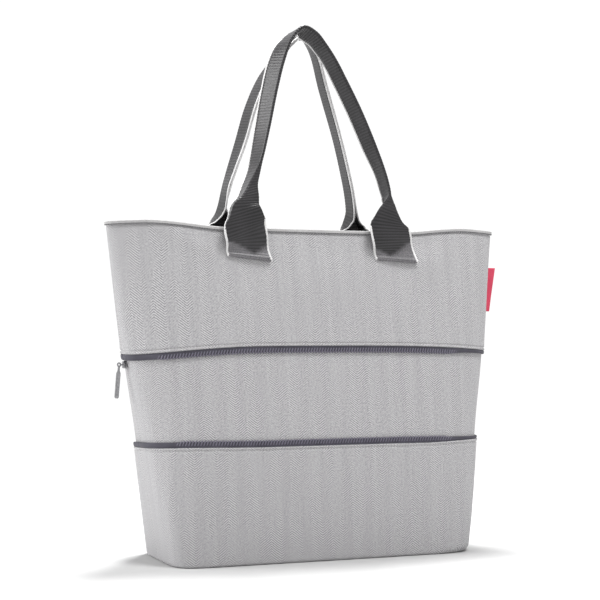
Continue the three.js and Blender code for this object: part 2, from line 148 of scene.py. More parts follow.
def fill_sockets(
    material: Material | bpy.types.World,
    node: bpy.types.Node,
    inputs: Mapping[str | int, object] | Sequence[object],
) -> None:
    """Fills sockets of a node.

    Args:
        material: Material or world that holds the node.
        node: The node.
        inputs: Values by socket name or number, or in the order of the sockets. An output socket
            is linked, and so is the first output of a node.
    """
    for key, value in inputs.items() if isinstance(inputs, Mapping) else enumerate(inputs):
        if isinstance(value, bpy.types.Node):
            value = value.outputs[0]
        if isinstance(value, Socket):
            material.node_tree.links.new(value, node.inputs[key])
        else:
            node.inputs[key].default_value = value


def add_node(
    material: Material | bpy.types.World,
    kind: str,
    settings: Mapping[str, object],
    inputs: Mapping[str | int, object] | Sequence[object] = (),
) -> bpy.types.Node:
    """Adds a node, sets its properties and fills its sockets.

    Args:
        material: Material or world whose node tree gets the node.
        kind: Type name of the node.
        settings: Property values by name.
        inputs: What goes into its sockets, as for fill_sockets.

    Returns:
        The new node.
    """
    node = material.node_tree.nodes.new(kind)
    for name, value in settings.items():
        setattr(node, name, value)
    fill_sockets(material, node, inputs)
    return node


def smoothstep(value: Array | float, start: float, end: float) -> Array:
    """Eases from 0 at start to 1 at end."""
    t = np.clip((np.asarray(value, float) - start) / (end - start), 0, 1)
    return t * t * (3 - 2 * t)


def read_column(knots: Array, values: Array, at: Array) -> Array:
    """Reads a smooth curve through a column of values.

    Args:
        knots: Rising key of each value.
        values: The column.
        at: Keys to read at, kept within the knots.

    Returns:
        The values there.
    """
    last = len(knots) - 1
    at = np.clip(at, knots[0], knots[last])
    i = np.clip(np.searchsorted(knots, at, side="left") - 1, 0, last - 1)
    before, after = np.maximum(i - 1, 0), np.minimum(i + 2, last)
    span = knots[i + 1] - knots[i]
    start_slope = (values[i + 1] - values[before]) / (knots[i + 1] - knots[before])
    end_slope = (values[after] - values[i]) / (knots[after] - knots[i])
    t = (at - knots[i]) / span
    near = (1 + 2 * t) * (1 - t) ** 2 * values[i] + t * (1 - t) ** 2 * span * start_slope
    far = t * t * (3 - 2 * t) * values[i + 1] + t * t * (t - 1) * span * end_slope
    return near + far


def unit(vectors: Array) -> Array:
    """Scales vectors along the last axis to length 1."""
    return vectors / np.linalg.norm(vectors, axis=-1, keepdims=True)


def square_to(vectors: Array, along: Array) -> Array:
    """Turns vectors square to unit directions and scales them to length 1."""
    return unit(vectors - along * np.sum(vectors * along, axis=1, keepdims=True))


def close_ring(points: Array) -> Array:
    """Repeats the first point of a ring at its end."""
    return np.concatenate([points, points[:1]])


def run_along(points: Array) -> Array:
    """Returns the distance along a line to each of its points."""
    return np.concatenate([[0], np.cumsum(np.linalg.norm(np.diff(points, axis=0), axis=1))])


def read_line(run: Array, points: Array, at: Array) -> Array:
    """Returns the points of a line at distances along it, given the run to each of its points."""
    return np.stack([np.interp(at, run, column) for column in points.T], axis=1)


def loft_faces(rows: int, columns: int, round_rows: bool) -> Faces:
    """Quads of a grid that closes on itself along its columns.

    Args:
        rows: Number of rows.
        columns: Number of columns, joined end to end.
        round_rows: Whether the last row joins the first. If not, both ends are capped.

    Returns:
        Faces as tuples of point numbers, row by row.
    """
    faces: Faces = []
    for row in range(rows if round_rows else rows - 1):
        here, above = row * columns, (row + 1) % rows * columns
        for i in range(columns):
            j = (i + 1) % columns
            faces.append((here + i, here + j, above + j, above + i))
    if not round_rows:
        top = (rows - 1) * columns
        for i in range(columns // 2 - 1):
            near, far = (i, i + 1), (columns - 2 - i, columns - 1 - i)
            faces.append((near[0], far[1], far[0], near[1]))
            faces.append(tuple(top + k for k in (near[0], near[1], far[0], far[1])))
    return faces


def signed_volume(points: Array, faces: Faces) -> float:
    """Measures the volume inside faces.

    Args:
        points: Points of the shape.
        faces: Its faces.

    Returns:
        The volume, below zero where the faces point inwards.
    """
    total = 0.0
    for size in {len(face) for face in faces}:
        index = np.array([face for face in faces if len(face) == size])
        for k in range(1, size - 1):
            a, b, c = points[index[:, 0]], points[index[:, k]], points[index[:, k + 1]]
            total += float(np.einsum("ij,ij->", a, np.cross(b, c)))
    return total / 6


def make_mesh(name: str, points: Array, faces: Faces, weave: Array | None = None) -> Piece:
    """Makes a smooth mesh object at the origin with its faces outwards.

    Args:
        name: Name of the piece.
        points: Points in millimetres.
        faces: Faces as tuples of point numbers.
        weave: Weave coordinates of the points in millimetres, kept as a UV map in metres.

    Returns:
        The new object.
    """
    points = points.reshape(-1, 3)
    if signed_volume(points, faces) < 0:
        faces = [face[::-1] for face in faces]
    mesh = bpy.data.meshes.new(name)
    mesh.from_pydata((points * MM).tolist(), [], faces)
    if weave is not None:
        corners = np.empty(len(mesh.loops), int)
        mesh.loops.foreach_get("vertex_index", corners)
        layer = mesh.uv_layers.new(name=WEAVE)
        layer.data.foreach_set("uv", (weave.reshape(-1, 2)[corners] * MM).ravel())
    mesh.polygons.foreach_set("use_smooth", np.ones(len(mesh.polygons), bool))
    mesh.update()
    piece = bpy.data.objects.new(name, mesh)
    bpy.context.scene.collection.objects.link(piece)
    return piece


def gather(shapes: Iterable[tuple[Array, Faces]]) -> tuple[Array, Faces]:
    """Puts the points and faces of several shapes together.

    Args:
        shapes: Points and faces of each.

    Returns:
        All the points and all the faces.
    """
    points, faces, total = [], [], 0
    for more, more_faces in shapes:
        points.append(more.reshape(-1, 3))
        faces += [tuple(v + total for v in face) for face in more_faces]
        total += len(points[-1])
    return np.concatenate(points), faces


def scatter(template: Array, faces: Faces, places: Array, axes: Array) -> tuple[Array, Faces]:
    """Copies a small shape to many places.

    Args:
        template: Points of the shape, millimetres.
        faces: Faces of the shape.
        places: Origin of each copy.
        axes: Three axis vectors for each copy.

    Returns:
        All the points and all the faces.
    """
    copies = places[:, None, :] + np.einsum("mk,ckd->cmd", template, axes)
    return gather((copy, faces) for copy in copies)


def dress(
    piece: Piece, material: Material, body: Body, nodes: Sequence[str] = ()
) -> Piece:
    """Gives a piece its finish and body, and hides the frame nodes that it stands for.

    Args:
        piece: The finished piece.
        material: Its finish.
        body: Body that it rides on.
        nodes: Frame nodes that it replaces.

    Returns:
        The piece.
    """
    piece.data.materials.clear()
    piece.data.materials.append(material)
    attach(piece, body.value)
    if nodes:
        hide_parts(*nodes)
    log.info("%s: %d faces on %s", piece.name, len(piece.data.polygons), body.value)
    return piece


class Finish:
    """A procedural material, made once and shared."""

    name: str

    def sockets(self, material: Material) -> Mapping[str, object]:
        """Adds the finish's nodes and returns what goes into the shader's sockets."""
        raise NotImplementedError

    def build(self) -> Material:
        """Builds the material.

        Returns:
            The material, with its shader's sockets filled.
        """
        material = bpy.data.materials.new(self.name)
        material.use_nodes = True
        shader = material.node_tree.nodes["Principled BSDF"]
        fill_sockets(material, shader, self.sockets(material))
        return material

    def weave_axes(self, material: Material) -> tuple[Socket, Socket, Socket]:
        """Reads the weave coordinates of a piece.

        Args:
            material: The finish's material.

        Returns:
            Sockets of both coordinates, of the one across and of the one along.
        """
        uv = add_node(material, "ShaderNodeUVMap", {"uv_map": WEAVE})
        split = add_node(material, "ShaderNodeSeparateXYZ", {}, (uv,))
        return uv.outputs[0], split.outputs[0], split.outputs[1]


@dataclass(frozen=True)
class HerringboneCloth(Finish):
    """Polyester cloth woven in herringbone: matt, pale grey, with upright chevron columns.

    The real twill lines stand about 2.4 mm apart. They are drawn a little coarser, because at the
    size of the render they would blur into one grey.
    """

    name: str = "herringbone_polyester_cloth"
    light: str = "#c0bfc0"
    dark: str = "#7b7a7d"
    column: float = 12.2
    line: float = 2.6
    slope: float = 0.75
    # Width and height of the patches where the chevrons show, of slubs in the yarn, and of the
    # places where the lines wander
    patch: Pair = (13.0, 44.0)
    streak: Pair = (5.0, 140.0)
    wander: Pair = (7.0, 18.0)
    wander_height: float = 1.5
    patch_detail: float = 2.0
    patch_range: Pair = (0.38, 0.62)
    clarity: Pair = (0.08, 0.46)
    lean_clarity: float = 0.05
    lean_share: float = 0.02
    streak_share: float = 0.16
    fuzz: float = 2.0
    fuzz_detail: float = 3.0
    fuzz_share: float = 0.9
    roughness: float = 0.92
    specular: float = 0.25
    sheen: float = 0.12
    sheen_roughness: float = 0.5
    relief: float = 0.16
    relief_strength: float = 0.6

    def sockets(self, material: Material) -> Mapping[str, object]:
        """Lays the chevrons, the patches where they show, and the fuzz of the yarn.

        Args:
            material: The cloth's material.

        Returns:
            What goes into the shader's sockets.
        """
        node = partial(add_node, material)
        uv, across, along = self.weave_axes(material)
        # The chevrons stand out clearly in some places and nearly vanish in others
        noises = []
        for width, height in (self.patch, self.streak, self.wander):
            scale = (1 / (width * MM), 1 / (height * MM), 1.0)
            stretched = node("ShaderNodeMapping", {}, {"Vector": uv, "Scale": scale})
            spread = {"Vector": stretched, "Scale": 1.0, "Detail": self.patch_detail}
            noises.append(node(NOISE, FLAT_NOISE, spread))
        patches, streaks, wander = noises
        zigzag = node(MATH, ZIGZAG, (across, self.column * MM))
        slanted = node(MATH, MULTIPLY_ADD, (zigzag, self.slope, along))
        climb = node(MATH, MULTIPLY_ADD, (wander, self.wander_height * MM, slanted))
        phase = node(MATH, MULTIPLY, (climb, TURN / (self.line * MM)))
        twill = node(MATH, SINE, (phase,))
        # Columns that lean one way catch a little more light, and show their lines more clearly
        column_phase = node(MATH, MULTIPLY, (across, TURN / (2 * self.column * MM)))
        lean = node(MATH, SINE, (column_phase,))
        clearer = node(MATH, MULTIPLY_ADD, (lean, self.lean_clarity, patches))
        clarity = node(MAP_RANGE, EASED, (clearer, *self.patch_range, *self.clarity))
        chevrons = node(MATH, MULTIPLY_ADD, (twill, clarity, 0.5))
        columns = node(MATH, MULTIPLY_ADD, (lean, self.lean_share, chevrons))
        yarn = {"Vector": uv, "Scale": 1 / (self.fuzz * MM), "Detail": self.fuzz_detail}
        fuzz = node(NOISE, FLAT_NOISE, yarn)
        slubs = node(MATH, MULTIPLY_ADD, (streaks, self.streak_share, -self.streak_share / 2))
        grain = node(MATH, MULTIPLY_ADD, (fuzz, self.fuzz_share, -self.fuzz_share / 2))
        woven = node(MATH, ADD, (columns, slubs))
        tone = node(MATH, ADD | CLAMPED, (woven, grain))
        dyes = {MIX_SHARE: tone, MIX_DARK: linear(self.dark), MIX_LIGHT: linear(self.light)}
        rise = node(MATH, ADD, (chevrons, grain))
        raised = {"Strength": self.relief_strength, "Distance": self.relief * MM, "Height": rise}
        return {
            "Base Color": node(MIX, COLOURS, dyes).outputs[MIX_RESULT],
            "Normal": node(BUMP, {}, raised),
            "Roughness": self.roughness,
            "Specular IOR Level": self.specular,
            "Sheen Weight": self.sheen,
            "Sheen Roughness": self.sheen_roughness,
        }


@dataclass(frozen=True)
class WovenTape(Finish):
    """Narrow woven goods: ribs across or along, fine yarn grain, matt or with a little sheen.

    Where pressed is a colour, it is painted as a highlight over the places with the pressed
    attribute, in flecks that follow the yarn.
    """

    name: str
    light: str
    dark: str
    rib: float
    lengthwise: bool = False
    grain: float = 0.7
    grain_detail: float = 3.0
    worn_grains: float = 30.0
    worn_detail: float = 2.0
    rib_share: float = 0.5
    grain_share: float = 0.7
    roughness: float = 0.85
    specular: float = 0.3
    sheen: float = 0.15
    sheen_roughness: float = 0.45
    relief: float = 0.12
    relief_strength: float = 0.6
    pressed: str = ""
    highlight_yarn_range: Pair = (0.3, 0.6)
    highlight_share: Pair = (0.3, 1.0)

    def sockets(self, material: Material) -> Mapping[str, object]:
        """Lays the ribs, the grain of the yarn and its worn places.

        Args:
            material: The tape's material.

        Returns:
            What goes into the shader's sockets.
        """
        node = partial(add_node, material)
        uv, across, along = self.weave_axes(material)
        phase = node(MATH, MULTIPLY, (across if self.lengthwise else along, TURN / (self.rib * MM)))
        ribs = node(MATH, SINE, (phase,))
        sizes = (self.grain, self.grain_detail), (self.worn_grains * self.grain, self.worn_detail)
        yarn, worn = (
            node(NOISE, FLAT_NOISE, {"Vector": uv, "Scale": 1 / (size * MM), "Detail": detail})
            for size, detail in sizes
        )
        ribbed = node(MATH, MULTIPLY_ADD, (ribs, self.rib_share / 2, 0.5 - self.grain_share))
        grained = node(MATH, MULTIPLY_ADD, (yarn, self.grain_share, ribbed))
        tone = node(MATH, MULTIPLY_ADD | CLAMPED, (worn, self.grain_share, grained))
        dyes = {MIX_SHARE: tone, MIX_DARK: linear(self.dark), MIX_LIGHT: linear(self.light)}
        colour = node(MIX, COLOURS, dyes).outputs[MIX_RESULT]
        if self.pressed:
            # Painted highlight: where the strap is sewn down flat, flecks of the paler colour stand
            # in for the light that the flat patch catches
            sewn = node("ShaderNodeAttribute", {"attribute_name": PAINTED_HIGHLIGHT}).outputs["Fac"]
            highlight_yarn = node(MAP_RANGE, {}, (yarn, *self.highlight_yarn_range, *self.highlight_share))
            pale = node(MATH, MULTIPLY, (sewn, highlight_yarn))
            dyes = {MIX_SHARE: pale, MIX_DARK: colour, MIX_LIGHT: linear(self.pressed)}
            colour = node(MIX, COLOURS, dyes).outputs[MIX_RESULT]
        raised = {"Strength": self.relief_strength, "Distance": self.relief * MM, "Height": tone}
        return {
            "Base Color": colour,
            "Normal": node(BUMP, {}, raised),
            "Roughness": self.roughness,
            "Specular IOR Level": self.specular,
            "Sheen Weight": self.sheen,
            "Sheen Roughness": self.sheen_roughness,
        }


@dataclass(frozen=True)
class HardFinish(Finish):
    """Moulded or plated surface: its roughness and tone drift a little from place to place."""

    name: str
    light: str
    dark: str
    roughness: Pair
    metallic: float = 0.0
    grain: float = 2.0
    grain_detail: float = 4.0
    drift_range: Pair = (0.3, 0.7)
    relief: float = 0.02
    relief_strength: float = 0.4

    def sockets(self, material: Material) -> Mapping[str, object]:
        """Lays the drift of tone and gloss.

        Args:
            material: The surface's material.

        Returns:
            What goes into the shader's sockets.
        """
        node = partial(add_node, material)
        place = node("ShaderNodeTexCoord", {}).outputs["Object"]
        grains = {"Vector": place, "Scale": 1 / (self.grain * MM), "Detail": self.grain_detail}
        drift = node(NOISE, {}, grains)
        dyes = {MIX_SHARE: drift, MIX_DARK: linear(self.dark), MIX_LIGHT: linear(self.light)}
        raised = {"Strength": self.relief_strength, "Distance": self.relief * MM, "Height": drift}
        return {
            "Base Color": node(MIX, COLOURS, dyes).outputs[MIX_RESULT],
            "Roughness": node(MAP_RANGE, {}, (drift, *self.drift_range, *self.roughness)),
            "Normal": node(BUMP, {}, raised),
            "Metallic": self.metallic,
        }


@dataclass(frozen=True)
class BackgroundPaper(Finish):
    """Uncoated studio paper: one pale grey, without any gloss."""

    name: str = "matt_background_paper"
    colour: str = "#bcbcbc"
    roughness: float = 1.0
    specular: float = 0.0

    def sockets(self, material: Material) -> Mapping[str, object]:
        """Returns one colour and no gloss; the paper needs no nodes."""
        gloss = {"Roughness": self.roughness, "Specular IOR Level": self.specular}
        return {"Base Color": linear(self.colour)} | gloss


@dataclass(frozen=True)
class Finishes:
    """All the finishes of the bag, each built once."""

    # Polyester herringbone, woven: no gloss, chevrons that show as soft upright columns
    cloth: Material = field(default_factory=HerringboneCloth().build)
    # Polyester grosgrain binding, woven: fine ribs across, paler than the cloth
    binding: Material = field(default_factory=WovenTape(
        "polyester_grosgrain_binding", "#b7b6b5", "#969596", 1.6, rib_share=0.3).build)
    # Spun polyester thread: pale, with the grain of its twist
    thread: Material = field(default_factory=WovenTape(
        "spun_polyester_thread", "#dddcdb", "#b3b2b4", 0.8, grain=0.4).build)
    # Nylon zip tape, woven: navy grey with fine lines along its length
    tape: Material = field(default_factory=WovenTape(
        "woven_nylon_zip_tape", "#55535d", "#2e2d33", 1.3, True, sheen=0.1).build)
    # Nylon coil, set from one filament: navy grey, satin, with a soft highlight on each turn
    teeth: Material = field(default_factory=HardFinish(
        "nylon_zip_coil", "#787484", "#4e4b57", (0.32, 0.5), grain=1.2).build)
    # Zinc die casting, gunmetal plated: dark metal with a soft satin gloss
    metal: Material = field(default_factory=HardFinish(
        "gunmetal_plated_zinc", "#a8a8aa", "#79797c", (0.26, 0.44), 1.0).build)
    # Polyester webbing, woven: near black, satin, with ribs across and flecks of lighter yarn. Its
    # rib stripes are partly the weave and partly painted light and shade, and its paler colour is a
    # painted highlight on the flat sewn feet
    webbing: Material = field(default_factory=WovenTape(
        "ribbed_polyester_webbing", "#302e31", "#050506", 3.4, rib_share=0.7, grain=1.1,
        roughness=0.38, specular=0.4, sheen=0.12, relief=0.2, pressed="#706e71").build)
    # The same thread in dark grey, for the handles and the mouth; under the mouth binding its dark
    # row also serves as painted shade for the line beneath it
    dark_and_shade_thread: Material = field(default_factory=WovenTape(
        "dark_polyester_and_shade_thread", "#6a696b", "#434245", 0.8, grain=0.4).build)
    # Selvedge of the webbing, woven in pale yarn: light grey, close and even
    selvedge: Material = field(default_factory=WovenTape(
        "pale_webbing_selvedge", "#e4e3e2", "#b9b8b9", 1.35, grain=0.6).build)
    # Polyester satin ribbon, woven: raspberry red, with a faint sheen along the warp
    ribbon: Material = field(default_factory=WovenTape(
        "raspberry_satin_ribbon", "#d04a62", "#b02c48", 0.9, True, sheen=0.4).build)


@dataclass(frozen=True)
class Section:
    """One cross-section, |x / half_width| ^ end_power + |y / half_depth| ^ side_power = 1.

    level is its height at the middle of the front, shift moves it sideways, and towards the ends
    it climbs by shoulder and bends by tip. The slider end is also raised by lift, and leans so that
    its front corner lies higher and its back corner lower by lean.
    """

    level: float
    half_width: float
    half_depth: float
    end_power: float
    side_power: float
    shift: float
    shoulder: float
    tip: float
    lift: float
    lean: float


@dataclass(frozen=True)
class Swell:
    """A soft swell of the cloth, or a hollow where depth is below zero.

    slant is the sideways drift for each millimetre downwards.
    """

    side: Side
    x: float
    level: float
    reach_x: float
    reach_z: float
    slant: float
    depth: float


@dataclass(frozen=True)
class BagForm:
    """The soft outline that the walls, the zip, the mouth and the handles all follow.

    Stations go round it from the front middle by way of the label end.
    """

    sections: tuple[Section, ...] = (
        Section(0, 180, 72, 14, 6, 0, 0, 0, 0, 0),
        Section(132, 202, 66, 7, 3.4, 0, 0, -1.8, 0.2, 2.4),
        Section(234, 220, 52, 5, 2.7, 0, 0, -7, -2.2, -1.3),
        Section(RIM_LEVEL, 238, 29, 3, 2, -2, 9, -4, 0, 0),
    )
    swells: tuple[Swell, ...] = (
        Swell(Side.FRONT, -160, 354, 24, 22, 1.4, 2.6),
        Swell(Side.FRONT, -86, 318, 34, 22, 0, -2.2),
        Swell(Side.FRONT, 4, 376, 60, 50, 0, -5.0),
        Swell(Side.FRONT, 4, 314, 70, 34, 0, 2.5),
        Swell(Side.FRONT, 92, 316, 34, 24, 0, -2.2),
        Swell(Side.FRONT, 130, 374, 30, 42, 0, -3.0),
        Swell(Side.FRONT, 136, 332, 30, 24, -0.4, 3.0),
        Swell(Side.BACK, -20, 336, 46, 28, 0, 2.6),
        Swell(Side.BACK, 84, 316, 34, 24, 0, -2.2),
        Swell(Side.BACK, -90, 318, 34, 22, 0, -2.2),
    )
    quarter_steps: int = 130
    fine_steps: int = 400
    seam_depth: float = 0.7
    seam_reach: float = 1.4
    # Where across the bag the shoulder, the slider end's lift and the label end start and are full
    shoulder: Pair = (0.4, 0.85)
    slider_end: Pair = (0.35, 0.98)
    label_end: Pair = (0.55, 0.97)
    tip_power: int = 3
    fold_rise: float = 2.8

    @property
    def stations(self) -> int:
        """Number of stations round the bag."""
        return 4 * self.quarter_steps

    def section_at(self, level: float) -> Section:
        """Reads the section at a level, smoothly between the given ones.

        Args:
            level: Height at the middle of the front.

        Returns:
            The section there.
        """
        knots = np.array([s.level for s in self.sections])
        names = [f.name for f in fields(Section) if f.name != "level"]
        columns = {n: np.array([getattr(s, n) for s in self.sections], float) for n in names}
        at = np.array([level])
        values = {n: float(read_column(knots, c, at)[0]) for n, c in columns.items()}
        return Section(level, **values)

    def quarter(self, section: Section) -> tuple[Array, Array]:
        """Walks a quarter of a section at even steps.

        Args:
            section: The section.

        Returns:
            Points from the middle of a side to an end, and the run of cloth to each.
        """
        a, b = section.half_width, section.half_depth
        m, n = section.end_power, section.side_power
        x = np.linspace(0, a * 0.5 ** (1 / m), self.fine_steps)
        y = np.linspace(b * 0.5 ** (1 / n), 0, self.fine_steps)
        side = np.stack([x, b * (1 - (x / a) ** m) ** (1 / n)], axis=1)
        end = np.stack([a * (1 - (y / b) ** n) ** (1 / m), y], axis=1)
        fine = np.concatenate([side, end[1:]])
        run = run_along(fine)
        even = np.linspace(0, run[-1], self.quarter_steps + 1)
        return read_line(run, fine, even), even

    def swell_at(self, x: Array, side: Array | float, level: float) -> Array:
        """Works out how far the swells push the cloth out.

        Args:
            x: Places across the bag.
            side: Number with the sign of the side that each lies on.
            level: Height at the middle of the front.

        Returns:
            The push at each place.
        """
        push = np.zeros(np.shape(x))
        for s in self.swells:
            across = (x - s.x - s.slant * (s.level - level)) / s.reach_x
            down = (level - s.level) / s.reach_z
            bulge = s.depth * np.exp(-across**2 - down**2)
            push = push + np.where(np.sign(side) == s.side.value, bulge, 0)
        return push

    def ring(self, level: float, offset: Array | float) -> tuple[Array, Array]:
        """Points round the bag at a level, and their weave coordinates.

        Args:
            level: Height at the middle of the front.
            offset: How far outside the form, for all stations or for each.

        Returns:
            A point for each station, and its weave coordinates: run from the middle of its side,
            and level.
        """
        section = self.section_at(level)
        quarter, run = self.quarter(section)
        there, back = quarter[:-1], quarter[:0:-1]
        flat = np.concatenate([there * (1, -1), back, there * (-1, 1), back * (-1, -1)])
        runs = np.concatenate([run[:-1], run[:0:-1], -run[:-1], -run[:0:-1]])
        halves = (section.half_width, section.half_depth)
        share = np.abs(flat) / halves
        powers = np.array([section.end_power, section.side_power])
        outward = unit(np.sign(flat) * (powers * share ** (powers - 1) / halves))
        x = flat[:, 0] + section.shift
        seam = self.seam_depth * np.exp(-(flat[:, 1] / self.seam_reach) ** 2)
        push = offset + self.swell_at(x, flat[:, 1], level) - seam
        climb = section.shoulder * smoothstep(share[:, 0], *self.shoulder)
        slider_end = smoothstep(-flat[:, 0] / section.half_width, *self.slider_end)
        climb += slider_end * (section.lift - section.lean * flat[:, 1] / section.half_depth)
        z = level + climb + section.tip * np.minimum(share[:, 0], 1) ** self.tip_power
        points = np.stack([x + outward[:, 0] * push, flat[:, 1] + outward[:, 1] * push, z], axis=1)
        return points, np.stack([runs, np.full(len(runs), level)], axis=1)

    def across(self, level: float) -> Array:
        """Returns where each station lies, from -1 at the slider end to 1 at the label end."""
        section = self.section_at(level)
        return (self.ring(level, 0.0)[0][:, 0] - section.shift) / section.half_width

    def label_share(self, level: float) -> Array:
        """Returns how near each station lies to the label end, from 0 to 1."""
        return smoothstep(self.across(level), *self.label_end)

    def panel_reach(self, x: float, level: float, side: Side) -> float:
        """Works out how far a panel stands out from the middle of the bag.

        Args:
            x: Place across the bag.
            level: Height at the middle of the front.
            side: Side that the panel is on.

        Returns:
            The distance, with the swells.
        """
        s = self.section_at(level)
        share = abs((x - s.shift) / s.half_width)
        reach = s.half_depth * (1 - share**s.end_power) ** (1 / s.side_power)
        return reach + float(self.swell_at(np.array(x), side.value, level))

    def girth(self, level: float) -> float:
        """Returns the distance round the bag at a level."""
        return 4 * float(self.quarter(self.section_at(level))[1][-1])

    def loft(
        self, name: str, rows: Sequence[tuple[float, Array | float]], climb: Array | float = 0.0
    ) -> Piece:
        """Makes a closed ring round the bag.

        Args:
            name: Name of the piece.
            rows: Level and offset of each row, round the ring's cross-section.
            climb: How much higher than its level each row lies, for all stations or for each.

        Returns:
            The ring.
        """
        rings = [self.ring(level, offset) for level, offset in rows]
        points = np.stack([ring[0] for ring in rings])
        points[..., 2] += climb
        weave = np.stack([ring[1] for ring in rings])
        return make_mesh(name, points, loft_faces(len(rows), self.stations, True), weave)


@dataclass(frozen=True)
class Stitches:
    """A row of stitches: small rounded threads, each dipping into the cloth at its ends."""

    length: float = 2.7
    pitch: float = 3.5
    radius: float = 0.3
    sides: int = 6
    # Place along half the length, thickness and lift of each ring of a stitch, as shares
    profile: tuple[Place, ...] = (
        (-1, 0.35, -0.5), (-0.6, 1, 0.15), (0, 1, 0.4), (0.6, 1, 0.15), (1, 0.35, -0.5),
    )

    def template(self) -> tuple[Array, Faces]:
        """Makes one stitch along its first axis, with its third axis out of the cloth.

        Returns:
            Its points and faces.
        """
        angles = np.arange(self.sides) * TURN / self.sides
        rings = []
        for share, girth, lift in self.profile:
            ring = np.zeros((self.sides, 3))
            ring[:, 0] = share * self.length / 2
            ring[:, 1] = self.radius * girth * np.cos(angles)
            ring[:, 2] = self.radius * (girth * np.sin(angles) + lift)
            rings.append(ring)
        return np.concatenate(rings), loft_faces(len(rings), self.sides, False)

    def sew(self, name: str, lines: Sequence[tuple[Array, Array, bool]]) -> Piece:
        """Sews stitches along lines.

        Args:
            name: Name of the piece.
            lines: Points of each line, the direction out of the cloth at each, and whether the
                line closes on itself.

        Returns:
            All the stitches as one piece.
        """
        stitch = self.template()
        rows = []
        for line, out, closed in lines:
            if closed:
                line, out = close_ring(line), close_ring(out)
            run = run_along(line)
            count = max(int(run[-1] / self.pitch), 1)
            at = (np.arange(count) + 0.5) * run[-1] / count
            ahead, behind = np.minimum(at + PROBE, run[-1]), np.maximum(at - PROBE, 0)
            along = unit(read_line(run, line, ahead) - read_line(run, line, behind))
            normal = square_to(read_line(run, out, at), along)
            axes = np.stack([along, np.cross(normal, along), normal], axis=1)
            rows.append(scatter(*stitch, read_line(run, line, at), axes))
        points, faces = gather(rows)
        return make_mesh(name, points, faces, points[:, ::2])


@dataclass(frozen=True, kw_only=True)
class SubAssembly:
    """A part of the bag, which follows its form and wears its finishes."""

    form: BagForm
    finishes: Finishes

    def build(self) -> None:
        """Builds and dresses the pieces."""
        raise NotImplementedError


